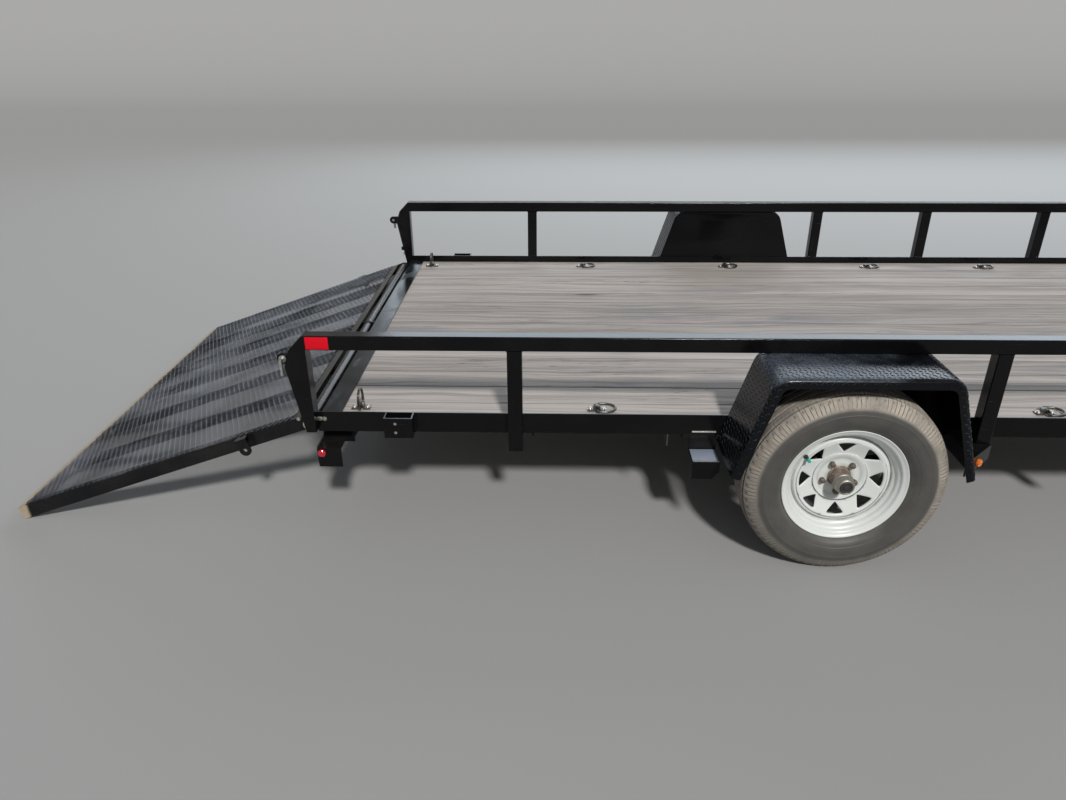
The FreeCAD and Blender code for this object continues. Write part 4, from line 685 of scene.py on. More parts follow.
def makeTape():
    # red reflective tape with its fine sealed cells, and a painted glow: a little emission stands for the
    # light it sends back
    made, tree, shader = startMaterial("redTape", **{"Roughness": 0.35, "Specular IOR Level": 0.2})
    place = objectPlace(tree)
    cells = put(tree, "TexVoronoi", {"Vector": place, "Scale": 330.0}, feature="DISTANCE_TO_EDGE")
    line = mapped(tree, cells.outputs["Distance"], 0.10, 0.03)
    colour = mixed(tree, line, (0.600, 0.003, 0.014), (0.400, 0.002, 0.010))
    paintedGlow = mixed(tree, line, (0.36, 0.001, 0.006), (0.16, 0.001, 0.003))
    shader.inputs["Emission Strength"].default_value = 0.35
    feed(tree, shader, Base_Color=colour, Emission_Color=paintedGlow, Normal=bumped(tree, line, 0.2, 0.0004))
    return made


def makeFlat(name, tone, dark, rough, grain=60.0, **shaderValues):
    # plain moulded or plated finish: two close tones in soft patches, with a fine grain
    made, tree, shader = startMaterial(name, **shaderValues)
    place = objectPlace(tree)
    soft = noise(tree, place, grain, 4.0, 0.6)
    fine = noise(tree, place, grain * 9.0, 2.0, 0.5)
    colour = mixed(tree, soft, tone, dark)
    feed(tree, shader, Base_Color=colour, Roughness=mapped(tree, soft, 0.3, 0.7, rough, rough + 0.14),
         Normal=bumped(tree, fine, 0.2, 0.0005))
    return made


# the tyre's own sizes stand here because its finish draws the sipes by them
tyreSizes = {
    "around": 420,
    "bead": 0.1906,
    "ribs": (0.0, 0.0355, 0.069),   # middle of the grooves between ribs, across from the tread's middle
    "groove": 0.0042,               # half width of a groove
    "grooveDeep": 0.0065,
    "grooveWave": 0.0011,
    "pitches": 70,                  # shoulder blocks round the tyre, each with two sipes
    "slotDeep": 0.0038,             # slots between the shoulder blocks
    "sipeDeep": 0.0022,             # short sipes beside the grooves
    "sideLines": ((0.2395, 0.0006), (0.2730, 0.0007)),   # radius and height of the raised lines
    # section as (radius, across): out from the bead, and in from the tread and the widest place
    "fromBead": ((0.0, -0.019), (0.0, -0.010), (0.004, -0.008), (0.010, -0.0065), (0.0155, -0.004),
                 (0.0185, 0.001), (0.024, 0.0085)),
    "fromTread": ((0.054, 0.0030), (0.040, 0.0075), (0.026, 0.0140), (0.0150, 0.0215), (0.0078, 0.0300),
                  (0.0034, 0.0410), (0.0010, 0.0600)),
}


blackPaint = makePaint("blackPaint")
sillPaint = makePaint("sillPaint")
rampPaint = makePaint("rampPaint", wornTip=True)
meshPaint = makePaint("meshPaint")
fenderPaint = makePaint("fenderPaint")
underPaint = makePaint("underPaint")
springSteel = makePaint("springSteel")
deckWood = makeWood()
tyreRubber = makeRubber()
rimPaint = makeRimPaint()
hubIron = makeIron()
zincPlate = makeZinc("zincPlate", (0.66, 0.65, 0.62), 0.35)
boltZinc = makeZinc("boltZinc", (0.70, 0.68, 0.62), 0.5)
ringSteel = makeZinc("ringSteel", (0.15, 0.145, 0.135), 0.6)
redLens = makeLens("redLens", (0.62, 0.012, 0.030), (0.30, 0.004, 0.012))
amberLens = makeLens("amberLens", (0.90, 0.270, 0.035), (0.62, 0.120, 0.010))
redTape = makeTape()
dullZinc = makeFlat("dullZinc", (0.42, 0.40, 0.36), (0.26, 0.235, 0.20), 0.40, 70.0, Metallic=0.85)
rustIron = makeFlat("rustIron", (0.215, 0.170, 0.140), (0.085, 0.058, 0.042), 0.55, 160.0, Metallic=0.45)
# painted reflection: the bluish grey of the sky that the steps' tops mirror
stepSkyPaint = makeFlat("stepSkyPaint", (0.300, 0.345, 0.430), (0.235, 0.272, 0.345), 0.38, 40.0)
blackRubber = makeFlat("blackRubber", (0.018, 0.018, 0.018), (0.035, 0.033, 0.030), 0.55, 90.0)
greenPlastic = makeFlat("greenPlastic", (0.020, 0.480, 0.330), (0.015, 0.360, 0.250), 0.35, 120.0)

# finishes of the CAD nodes that show as they are; the rest get theirs with the pieces that stand for them
nodeFinishes = {
    blackPaint: ("frame_side_right", "frame_side_left", "front_member", "top_rail_right", "top_rail_left",
                 "top_rail_front", "uprights_right", "uprights_left", "uprights_front", "rear_post_right",
                 "rear_post_left", "fender_brackets", "stake_pockets", "light_boxes", "tongue_left",
                 "tongue_right", "jack_tube", "coupler", "fender_left", "fender_right"),
    sillPaint: ("rear_sill",),
    rampPaint: ("ramp_frame", "ramp_bars", "ramp_mesh"),
    underPaint: ("crossmembers", "axle", "spring_hangers"),
    springSteel: ("leaf_springs",),
    zincPlate: ("latch_pins", "hinge_rod", "jack_leg", "jack_crank"),
    ringSteel: ("tie_down_rings",),
    redLens: ("tail_lamps", "red_markers"),
    amberLens: ("amber_markers",),
    deckWood: ("deck_boards",),
    tyreRubber: ("tyre_left", "tyre_right"),
    rimPaint: ("rim_left", "rim_right"),
    hubIron: ("hub_left", "hub_right"),
}
for finish, names in nodeFinishes.items():
    for name in names:
        nodes[name].data.materials.clear()
        nodes[name].data.materials.append(finish)
print("materials ready:", len(nodeFinishes))


# Deck boards

planks = {
    "along": 150,          # rings along each board
    "edgeRound": 0.0028,
    "edgeWander": 0.0008,  # how far an edge leaves its straight line
    "cup": 0.0006,         # how far the middle of a board lies below its edges
    "seat": 0.0002,        # the underside stays this far above the frame's leg
    "endWander": 0.0006,   # how much shorter a board can be at each end
}


def makePlanks(s):
    # each board is its rounded section carried along x; edges wander by a few slow sines, the top is cupped
    low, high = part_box("deck_boards")
    spans = stretches("deck_boards", 1)
    corner = np.linspace(0, np.pi / 2, 4)
    surfaces, seeds, across = [], [], []
    for number, (right, left) in enumerate(spans):
        half, middle = (left - right) / 2, (left + right) / 2
        thick = high[2] - low[2] - s["seat"]
        r = s["edgeRound"]
        arcY = np.concatenate([half - r + r * np.sin(corner[::-1]), -half + r - r * np.sin(corner)])
        arcZ = np.concatenate([thick - r + r * np.cos(corner[::-1]), thick - r + r * np.cos(corner)])
        top = np.linspace(half - r, -half + r, 9)[1:-1]
        sectionY = np.concatenate([[half], arcY[:4], top, arcY[4:], [-half]])
        sectionZ = np.concatenate([[0.0], arcZ[:4], np.full(7, thick), arcZ[4:], [0.0]])
        rear = low[0] + s["endWander"] * rng.random()
        x = np.linspace(rear, high[0] - s["endWander"] * rng.random(), s["along"])[:, None]
        waves = sum(rng.uniform(0.3, 1.0) * np.sin(x * rng.uniform(1.2, 9.0) + rng.uniform(0, 6.3))
                    for _ in range(4))
        share = (sectionY / half)[None]
        y = middle + sectionY[None] + share * s["edgeWander"] * 0.35 * (waves - 2.2)
        rise = s["cup"] * (share ** 2 - 1) * (sectionZ[None] > thick * 0.5)
        z = low[2] + s["seat"] + sectionZ[None] + rise + 0.0 * x
        points = np.stack([np.broadcast_to(x, y.shape), y, z], -1)
        surface = gridSurface(points, closeV=True, capU=True)
        surfaces.append(surface)
        seeds.append(np.full(len(surface[0]), (number * 0.618034 + 0.13) % 1.0))
        across.append(np.broadcast_to(share, y.shape).ravel())
    makePiece("deckPlanks", joined(surfaces), "chassis", deckWood, ("deck_boards",), "deck_wood", 50,
              {"boardSeed": np.concatenate(seeds), "boardAcross": np.concatenate(across)})


makePlanks(planks)
print("deck boards laid")


# Expanded mesh on the ramp

meshGate = {
    "shortWay": 0.0234,    # diamond pitch along the ramp
    "longWay": 0.0508,     # diamond pitch across the ramp
    "bond": 0.0045,        # half length of a joint between two rows
    "strandWide": 0.0042,
    "strandThick": 0.0022,
    "tilt": 44.0,          # degrees, how far a strand leans up
    "sideGap": 0.0005,     # the rows stop this far inside the sheet's two sides
}


def rampAxes():
    # the lowered ramp's own directions: outwards from the hinge, across, and up from its sheet
    flat = nodePoints("ramp_mesh")
    flat = flat - flat.mean(0)
    up = np.linalg.svd(flat, full_matrices=False)[2][-1]
    up = up * np.sign(up[2])
    across = np.array([0.0, 1.0, 0.0])
    return np.cross(up, across) * -1, across, up


def makeMeshGate(s):
    # row k is a zigzag across the ramp, joined at its crests to rows k - 1 and k + 1;
    # its section is a strip of strandWide by strandThick, leaning by tilt about its own line
    along, across, up = rampAxes()
    sheetPoints = nodePoints("ramp_mesh")
    reach = sheetPoints @ along
    start, end = reach.min(), reach.max()
    base = (sheetPoints @ up).min()
    low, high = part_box("ramp_mesh")
    pitch = s["shortWay"] / 2
    rows = int((end - start - 2 * s["strandThick"]) / pitch)
    offset = (end - start - rows * pitch) / 2
    cells = int(round((high[1] - low[1]) / s["longWay"]))
    cell = (high[1] - low[1]) / cells
    steps = np.arange(4 * cells + 1)
    shift = np.array([-s["bond"], s["bond"], cell / 2 - s["bond"], cell / 2 + s["bond"]])
    y = low[1] + (steps // 4) * cell + shift[steps % 4]
    y = np.clip(y, low[1] + s["sideGap"], high[1] - s["sideGap"])
    swing = np.array([1, 1, -1, -1])[steps % 4] * (pitch / 2 - s["strandThick"] * 0.38)
    side = np.where(np.arange(rows + 1) % 2 == 0, 1.0, -1.0)
    centre = start + offset + np.arange(rows + 1)[:, None] * pitch + side[:, None] * swing[None]
    lean = math.radians(s["tilt"])
    wide = 0.5 * s["strandWide"] * np.array([math.cos(lean), math.sin(lean)])
    thick = 0.5 * s["strandThick"] * np.array([-math.sin(lean), math.cos(lean)])
    corners = np.array([wide + thick, thick - wide, -wide - thick, wide - thick])
    lift = -corners[:, 1].min() + 0.0001
    alongPlace = centre[:, :, None] + corners[None, None, :, 0]
    upPlace = np.broadcast_to(base + lift + corners[None, None, :, 1], alongPlace.shape)
    yPlace = np.broadcast_to(y[None, :, None], alongPlace.shape)
    points = alongPlace[..., None] * along + upPlace[..., None] * up + yPlace[..., None] * across
    rowsOfStrand = [gridSurface(row, closeV=True, capU=True) for row in points]
    makePiece("rampExpandedMesh", joined(rowsOfStrand), "ramp", meshPaint, ("ramp_mesh",), "mesh_steel", 30)


makeMeshGate(meshGate)
print("ramp mesh made")


# Wheels

def tyreSection(radius, half, flange, s):
    # outer half section from bead to tread middle, as smooth points (radius, across)
    bead = s["bead"]
    bulge = radius - 0.52 * (radius - bead)
    corners = [(bead + r, flange + a) for r, a in s["fromBead"]]
    corners += [(bead + 0.034, half - 0.0105), (bulge - 0.014, half - 0.0022), (bulge + 0.010, half - 0.0003)]
    corners += [(radius - r, half - a) for r, a in s["fromTread"]] + [(radius, 0.0)]
    corners = np.array(corners)
    run = runOf(corners)
    dense = resampled(corners, run, np.linspace(0, run[-1], 900))
    padded = np.concatenate([np.repeat(dense[:1], 30, 0), dense, dense[::-1][1:31] * (1, -1)])
    return bellMean(padded, np.hanning(61))


def tyreDepth(s, r, a, turn, radius, half):
    # how far each point goes below the plain section: grooves, slots and sipes down, side lines up
    depth = np.zeros((len(turn), len(r)))
    tread = r > radius - 0.0075
    for g in s["ribs"]:
        for place in (g, -g):
            wave = s["grooveWave"] * np.sin(turn * s["pitches"] + 2.0 * (place > 0)) * (g > 0)
            gap = np.abs(a - place - wave)
            deep = np.clip((s["groove"] * 1.12 - gap) / (s["groove"] * 0.35), 0, 1) * tread
            depth = np.maximum(depth, s["grooveDeep"] * deep)
    # shoulder blocks: a slot across the shoulder for each pitch, and short sipes in the ribs
    phase = (turn * s["pitches"] / (2 * np.pi)) % 1.0
    slant = (phase + 6.5 * np.abs(a) + 0.5 * (a > 0)) % 1.0
    slot = np.clip((0.085 - np.abs(slant - 0.5)) / 0.05, 0, 1)
    shoulder = np.clip((np.abs(a) - 0.0745) / 0.002, 0, 1) * np.clip((r - (radius - 0.0200)) / 0.003, 0, 1)
    depth = np.maximum(depth, s["slotDeep"] * slot * shoulder)
    middle = (np.abs(a) < 0.064) & tread
    sipe = np.clip((0.04 - np.abs((phase + 5.0 * a) % 1.0 - 0.5)) / 0.03, 0, 1)
    nearGroove = np.min([np.abs(np.abs(a) - g) for g in s["ribs"]], axis=0) < s["groove"] + 0.0085
    depth = np.maximum(depth, s["sipeDeep"] * sipe * (middle & nearGroove))
    for lineR, tall in s["sideLines"]:
        depth = depth - tall * np.clip(1 - np.abs(r - lineR) / 0.0013, 0, 1) * (np.abs(a) > half - 0.05)
    return depth


def makeTyre(label, s):
    # section points turned about the axle, each moved along its own normal by its depth
    low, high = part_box("tyre_" + label)
    rimEnds = [abs(corner[1]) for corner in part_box("rim_" + label)]
    rimHalf = (max(rimEnds) - min(rimEnds)) / 2
    centre = (Vector(low) + Vector(high)) / 2
    radius, half = (high[0] - low[0]) / 2, (high[1] - low[1]) / 2
    section = tyreSection(radius, half, rimHalf - 0.005, s)
    run = runOf(section)
    treadStart = run[np.argmax(section[:, 0] > radius - 0.012)]
    grooves = [run[np.argmin(np.abs(section[:, 1] - g))] for g in s["ribs"]]
    offWall = section[:, 1] < half - 0.05
    lines = [run[np.argmin(np.abs(section[:, 0] - r) + offWall)] for r, _ in s["sideLines"]]
    # where the section has points: evenly, with more at the grooves and the side lines
    marks = [np.linspace(0, treadStart, 34, endpoint=False), np.linspace(treadStart, run[-1], 26)]
    marks += [place + s["groove"] * np.array([-1.25, -1.0, -0.55, 0.55, 1.0, 1.25]) for place in grooves]
    marks += [place + np.array([-0.0014, -0.0007, 0.0, 0.0007, 0.0014]) for place in lines]
    marks = np.unique(np.round(np.clip(np.concatenate(marks), 0, run[-1]), 5))
    r, a = resampled(section, run, marks).T
    r, a = np.concatenate([r, r[-2::-1]]), np.concatenate([a, -a[-2::-1]])
    tangent = unit(np.stack([np.gradient(r), np.gradient(a)], 1))
    turn = fullTurn(s["around"])[:, None]
    depth = tyreDepth(s, r, a, turn, radius, half)

    def carried(radii, across):
        # points at their radius and distance across, carried round the axle
        return np.stack([centre[0] + radii * np.cos(turn), centre[1] + across + 0 * turn,
                         centre[2] + radii * np.sin(turn)], -1)

    points = carried(r + depth * tangent[:, 1], a - depth * tangent[:, 0])
    # inner wall, plain, from bead to bead
    innerR, innerA = np.array([(s["bead"], rimHalf - 0.019), (0.205, rimHalf - 0.017), (0.225, half - 0.026),
                               (0.262, half - 0.012), (radius - 0.026, half - 0.028),
                               (radius - 0.018, half - 0.056)]).T
    lining = carried(np.concatenate([innerR, innerR[::-1]]), np.concatenate([innerA, -innerA[::-1]]))
    ends = [gridSurface(np.stack([lining[:, k], points[:, k]], 1), closeU=True) for k in (0, -1)]
    whole = joined([gridSurface(points, closeU=True), flipped(gridSurface(lining, closeU=True)),
                    ends[0], flipped(ends[1])])
    # painted light: the dust is laid thicker round the upper front of the tyre, so that side reads lit and
    # the lower back shaded
    thick = 0.66 + 0.34 * np.sin(turn + 0.35)
    dustWithPaintedLight = np.clip((r - (radius - 0.054)) / 0.012, 0, 1) * thick - np.clip(depth / 0.004, 0, 1) * 0.65
    dustWithPaintedLight = dustWithPaintedLight + 0.10 * np.clip(1 - np.abs(r - 0.2105) / 0.012, 0, 1) + 0.04
    rest = len(whole[0]) - dustWithPaintedLight.size
    dustAndPaintedLight = np.concatenate([np.clip(dustWithPaintedLight, 0, 1).ravel(), np.full(rest, 0.3)])
    band = np.clip((r - (radius - 0.047)) / 0.006, 0, 1) * np.clip((np.abs(a) - 0.050) / 0.004, 0, 1)
    band = np.concatenate([np.broadcast_to(band, depth.shape).ravel(), np.zeros(rest)])
    makePiece("tyreTread_" + label, whole, "wheel_" + label, tyreRubber, ("tyre_" + label,), "tyre_rubber",
              42, {"roadDustAndPaintedLight": dustAndPaintedLight, "shoulderBand": band})


for label, side in bothSides:
    makeTyre(label, tyreSizes)
print("tyres made")


rimSizes = {
    "windows": 8,
    "windowTurn": 0.0,      # degrees from forward to the first window
    "windowOuter": 0.1390,  # radius of a window's outer edge
    "windowApex": 0.0978,   # radius where its two sides would meet
    "windowSpread": 40.0,   # degrees between each side and the radius
    "windowRound": 0.0030,
    "windowMiddle": 0.1240,
    # from the border of its share (0) to the window's edge (1), and how far the sheet is pressed back there
    "windowEdge": ((0.0, 0.0), (0.35, 0.0), (0.65, 0.0), (0.86, 0.0003), (0.95, 0.0011), (1.0, 0.0024)),
    "steps": (14, 9),       # of a window's share, round and out
    "ringIn": 0.0900,
    "ringOut": 0.1500,
    "sheet": 0.0032,
    # pressed disc: radius, distance out from the wheel's middle
    "press": ((0.0300, 0.0120), (0.0640, 0.0122), (0.0720, 0.0142), (0.0800, 0.0178), (0.0880, 0.0200),
              (0.0930, 0.0208), (0.0990, 0.0218), (0.1050, 0.0235), (0.1250, 0.0310), (0.1410, 0.0375),
              (0.1480, 0.0395), (0.1540, 0.0390), (0.1590, 0.0360), (0.1612, 0.0300), (0.1620, 0.0240)),
    # rolled rim, from the outer flange in along its inner face, and back along its outer face
    "barrel": ((0.2080, 0.0760), (0.2077, 0.0788), (0.2060, 0.0800), (0.2040, 0.0795), (0.2022, 0.0775),
               (0.2005, 0.0750), (0.1975, 0.0728), (0.1915, 0.0715), (0.1880, 0.0700), (0.1868, 0.0675),
               (0.1864, 0.0620), (0.1840, 0.0585), (0.1790, 0.0560), (0.1765, 0.0535), (0.1755, 0.0440),
               (0.1720, 0.0405), (0.1665, 0.0380), (0.1650, 0.0350), (0.1645, 0.0100), (0.1645, -0.0100),
               (0.1680, -0.0200), (0.1840, -0.0510), (0.1866, -0.0580), (0.1866, -0.0720),
               (0.1930, -0.0745), (0.2000, -0.0755), (0.2050, -0.0795), (0.2080, -0.0780),
               (0.2075, -0.0760), (0.2030, -0.0725), (0.1960, -0.0715), (0.1903, -0.0700),
               (0.1903, -0.0580), (0.1700, -0.0200), (0.1680, -0.0100), (0.1680, 0.0350), (0.1760, 0.0385),
               (0.1903, 0.0570), (0.1903, 0.0690), (0.1960, 0.0700), (0.2030, 0.0715), (0.2060, 0.0740)),
}


def smoothProfile(points, count, soften):
    # resample a profile evenly and round its corners by a running mean
    points = np.asarray(points, float)
    run = runOf(points)
    dense = resampled(points, run, np.linspace(0, run[-1], count * soften))
    padded = np.concatenate([np.repeat(dense[:1], soften, 0), dense, np.repeat(dense[-1:], soften, 0)])
    soft = bellMean(padded, np.hanning(2 * soften + 3)[1:-1])
    return soft[np.linspace(0, len(soft) - 1, count).astype(int)]


def windowReach(s, angles):
    # distance from the window's middle to its edge along each angle: its sides melted by a soft maximum
    spread, soft = math.radians(s["windowSpread"]), s["windowRound"]
    near, far = np.zeros(len(angles)), np.full(len(angles), 0.05)
    direction = np.stack([np.cos(angles), np.sin(angles)], 1)
    for _ in range(40):
        middle = (near + far) / 2
        spot = np.array([s["windowMiddle"], 0.0]) + direction * middle[:, None]
        outer = np.linalg.norm(spot, axis=1) - s["windowOuter"]
        side = np.abs(spot[:, 1]) * math.cos(spread) - (spot[:, 0] - s["windowApex"]) * math.sin(spread)
        total = soft * np.log(np.exp(outer / soft) + np.exp(side / soft))
        near, far = np.where(total < 0, middle, near), np.where(total < 0, far, middle)
    return near


def rimDisc(s, height):
    # one window's share of the disc, lofted from its border to the window's edge, then turned round the axle
    half = math.pi / s["windows"]
    arc, radial = s["steps"]
    sweep = np.linspace(-half, half, arc + 1)
    reach = np.linspace(s["ringIn"], s["ringOut"], radial + 1)
    radii = np.concatenate([np.full(arc, s["ringOut"]), reach[:0:-1], np.full(arc, s["ringIn"]), reach[:-1]])
    turns = np.concatenate([sweep[:-1], np.full(radial, half), sweep[:0:-1], np.full(radial, -half)])
    border = radii[:, None] * np.stack([np.cos(turns), np.sin(turns)], 1)
    middle = np.array([s["windowMiddle"], 0.0])
    angles = np.arctan2(border[:, 1], border[:, 0] - middle[0])
    edge = middle + np.stack([np.cos(angles), np.sin(angles)], 1) * windowReach(s, angles)[:, None]
    shares, drop = np.array(s["windowEdge"]).T
    front = border + shares[:, None, None] * (edge - border)
    depth = np.broadcast_to(drop[:, None], front.shape[:2])
    flat = np.concatenate([front, front[-1:], front[::-1]])
    back = np.concatenate([depth, depth[-1:] + s["sheet"], depth[::-1] + s["sheet"]])
    out = height(np.linalg.norm(flat, axis=-1)) - back
    surfaces = []
    for i in range(s["windows"]):
        turn = math.radians(s["windowTurn"]) + 2 * half * i
        x = flat[..., 0] * math.cos(turn) - flat[..., 1] * math.sin(turn)
        z = flat[..., 0] * math.sin(turn) + flat[..., 1] * math.cos(turn)
        surfaces.append(gridSurface(np.stack([x, out, z], -1), closeV=True))
    return surfaces


wheelParts = {
    "studs": 5,
    "studTurn": 50.0,       # degrees from forward to the first stud
    "studCircle": 0.05715,
    # lug nut: radius, out, turned with six sides
    "nut": ((0.0078, 0.0110), (0.0100, 0.0135), (0.0100, 0.0270), (0.0088, 0.0284), (0.0054, 0.0300),
            (0.0, 0.0304)),
    "hubFlange": ((0.0240, -0.0255), (0.0395, -0.0255), (0.0400, -0.0250), (0.0400, -0.0060),
                  (0.0690, -0.0060), (0.0700, -0.0050), (0.0700, 0.0066), (0.0400, 0.0068), (0.0400, 0.0085)),
    "hubTube": ((0.0400, 0.0085), (0.0400, 0.0120), (0.0352, 0.0150), (0.0340, 0.0190), (0.0340, 0.0520),
                (0.0333, 0.0535), (0.0333, 0.0560)),
    "cap": ((0.0333, 0.0555), (0.0346, 0.0565), (0.0348, 0.0600), (0.0338, 0.0622), (0.0322, 0.0632),
            (0.0312, 0.0650), (0.0308, 0.0790), (0.0300, 0.0840), (0.0278, 0.0880), (0.0245, 0.0902),
            (0.0222, 0.0904), (0.0210, 0.0885)),
    "plug": ((0.0212, 0.0880), (0.0205, 0.0910), (0.0188, 0.0922), (0.0165, 0.0920), (0.0150, 0.0902),
             (0.0120, 0.0896), (0.0100, 0.0900), (0.0092, 0.0922), (0.0070, 0.0930), (0.0, 0.0932)),
    # valve: degrees from forward, radius and place out of its foot, how it leans in, distance up to its cap
    "stemTurn": 146.0,
    "stemFoot": (0.1560, 0.0350),
    "stemLean": 0.16,
    "stemTall": 0.0195,
    "stem": ((0.0, 0.0075), (0.002, 0.0080), (0.006, 0.0062), (0.012, 0.0052), (0.020, 0.0046), (0.021, 0.0)),
    "stemCap": ((0.0, 0.0), (0.0, 0.0056), (0.0006, 0.0061), (0.011, 0.0058), (0.0128, 0.0047),
                (0.0134, 0.0)),
}


def makeWheelParts(label, side, s):
    # rim, lug nuts, hub, cap and valve, all turned about the axle line
    low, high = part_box("tyre_" + label)
    centre = (np.array(low) + np.array(high)) / 2
    press = smoothProfile(s["press"], 60, 4)
    order = np.argsort(press[:, 0])

    def height(r):
        return np.interp(r, press[order, 0], press[order, 1])

    def add(name, surface, *finish):
        makePiece(name + "_" + label, onSide(surface, side, centre), "wheel_" + label, *finish)

    inner = np.stack([np.linspace(0.0345, s["ringIn"], 22)] * 2, 1)
    inner[:, 1] = height(inner[:, 0])
    outerRing = np.array([(r, height(r)) for r in np.linspace(s["ringOut"], 0.1603, 7)] +
                         [(0.1614, 0.0320), (0.1640, 0.0290), (0.1648, 0.0270)])
    surfaces = rimDisc(s, height)
    phase = math.radians(s["windowTurn"]) - math.pi / s["windows"]
    for ring in (inner, outerRing):
        both = np.concatenate([ring, ring[::-1] - (0, s["sheet"])])
        around = turned(both, s["windows"] * s["steps"][0], phase)
        surfaces.append(gridSurface(around, closeU=True, closeV=True))
    barrel = smoothProfile(s["barrel"] + s["barrel"][:1], 90, 2)[:-1]
    barrel = weldedSurface(gridSurface(turned(barrel, 144), closeU=True, closeV=True))
    rim = joined([weldedSurface(joined(surfaces)), barrel])
    r, out = np.hypot(rim[0][:, 0], rim[0][:, 2]), rim[0][:, 1]
    # dirt and painted shade: darker at the disc's edge by the barrel, at the ridge, round the hub and on the
    # faces that look in
    grime = 0.55 * np.clip(1 - np.abs(r - 0.1635) / 0.006, 0, 1) + 0.75 * np.clip((0.052 - r) / 0.016, 0, 1)
    grime += 0.35 * np.clip(1 - np.abs(r - 0.072) / 0.006, 0, 1) + 0.9 * np.clip((0.005 - out) / 0.01, 0, 1)
    grime = np.clip(grime + 0.06, 0, 1)
    add("rimShell", rim, rimPaint, ("rim_" + label,), "rim_silver", 38, {"grime": grime})
    nuts = []
    for i in range(s["studs"]):
        turn = math.radians(s["studTurn"] + 360.0 * i / s["studs"])
        points, faces = weldedSurface(gridSurface(turned(s["nut"], 6, turn), closeU=True))
        nuts.append((points + (s["studCircle"] * math.cos(turn), 0, s["studCircle"] * math.sin(turn)), faces))
    add("lugNuts", joined(nuts), rustIron, (), "hub_iron", 30)
    hub = [gridSurface(turned(profile, 64), closeU=True)
           for profile in (smoothProfile(s["hubTube"], 40, 2), s["hubFlange"])]
    add("hubTube", weldedSurface(joined(hub)), hubIron, ("hub_" + label,), "hub_iron", 45)
    cap = gridSurface(turned(smoothProfile(s["cap"], 46, 2), 64), closeU=True)
    add("hubCap", cap, dullZinc, (), "zinc", 45)
    plug = weldedSurface(gridSurface(turned(s["plug"], 48), closeU=True))
    add("hubPlug", plug, blackRubber, (), "tyre_rubber", 35)
    # valve: a rubber snout that leans out of the well, with a green cap
    turn = math.radians(s["stemTurn"])
    spoke = np.array([math.cos(turn), 0.0, math.sin(turn)])
    foot = s["stemFoot"][0] * spoke + (0, s["stemFoot"][1], 0)
    lean = np.array([0.0, 1.0, 0.0]) - s["stemLean"] * spoke
    lean /= np.linalg.norm(lean)
    add("valveStem", turnedAlong(foot, lean, s["stem"]), blackRubber, (), "tyre_rubber", 50)
    add("valveCap", turnedAlong(foot + lean * s["stemTall"], lean, s["stemCap"]), greenPlastic, (), None, 40)


for label, side in bothSides:
    makeWheelParts(label, side, {**rimSizes, **wheelParts})
print("rims, hubs and valves made")


# Fenders of tread plate

treadFender = {
    "bend": 0.0150,        # outside radius of the rolled edge
    "sheet": 0.0030,
    "lip": 0.0320,
    "topRound": 0.0620,
    "lugPitch": 0.0160,
    "lugLong": 0.0172,
    "lugWide": 0.0046,
    "lugTall": 0.0013,
    "plateEase": 0.0012,   # round at the edge of the plain plate against the frame
}


def leanOf(halfLow, tall, flatHalf, radius):
    # lean of the slope for which its arc ends exactly where the flat top starts, by halving
    near, far = 0.0, 1.2
    for _ in range(50):
        lean = (near + far) / 2
        cut = radius * math.tan((math.pi / 2 - lean) / 2)
        reach = halfLow - tall * math.tan(lean) - cut
        near, far = (lean, far) if reach > flatHalf else (near, lean)
    return (near + far) / 2


def fenderOutline(s, low, high):
    # (x, z) from foot to foot, straight slopes and top joined by arcs, and how many points make one slope
    halfLow, topZ = (high[0] - low[0]) / 2, high[2]
    middle = (high[0] + low[0]) / 2
    seen = nodePoints("fender_left")
    onTop = seen[seen[:, 2] > topZ - 1e-4]
    flatHalf = (onTop[:, 0].max() - onTop[:, 0].min()) / 2
    # the slope's lean follows from its foot, the arc's radius and where the flat top ends
    lean = leanOf(halfLow, topZ - low[2], flatHalf, s["topRound"])
    arc = np.linspace(math.pi - lean, math.pi / 2, 14)
    centre = np.array([-flatHalf, topZ - s["topRound"]])
    arcPoints = centre + s["topRound"] * np.stack([np.cos(arc), np.sin(arc)], 1)
    foot = np.array([-halfLow, low[2]])
    slope = foot + np.linspace(0, 1, 12)[:-1, None] * (arcPoints[0] - foot)
    left = np.concatenate([slope, arcPoints])
    top = np.stack([np.linspace(-flatHalf, flatHalf, 14)[1:-1], np.full(12, topZ)], 1)
    line = np.concatenate([left, top, (left * (-1, 1))[::-1]])
    line[:, 0] += middle
    return line, len(left)


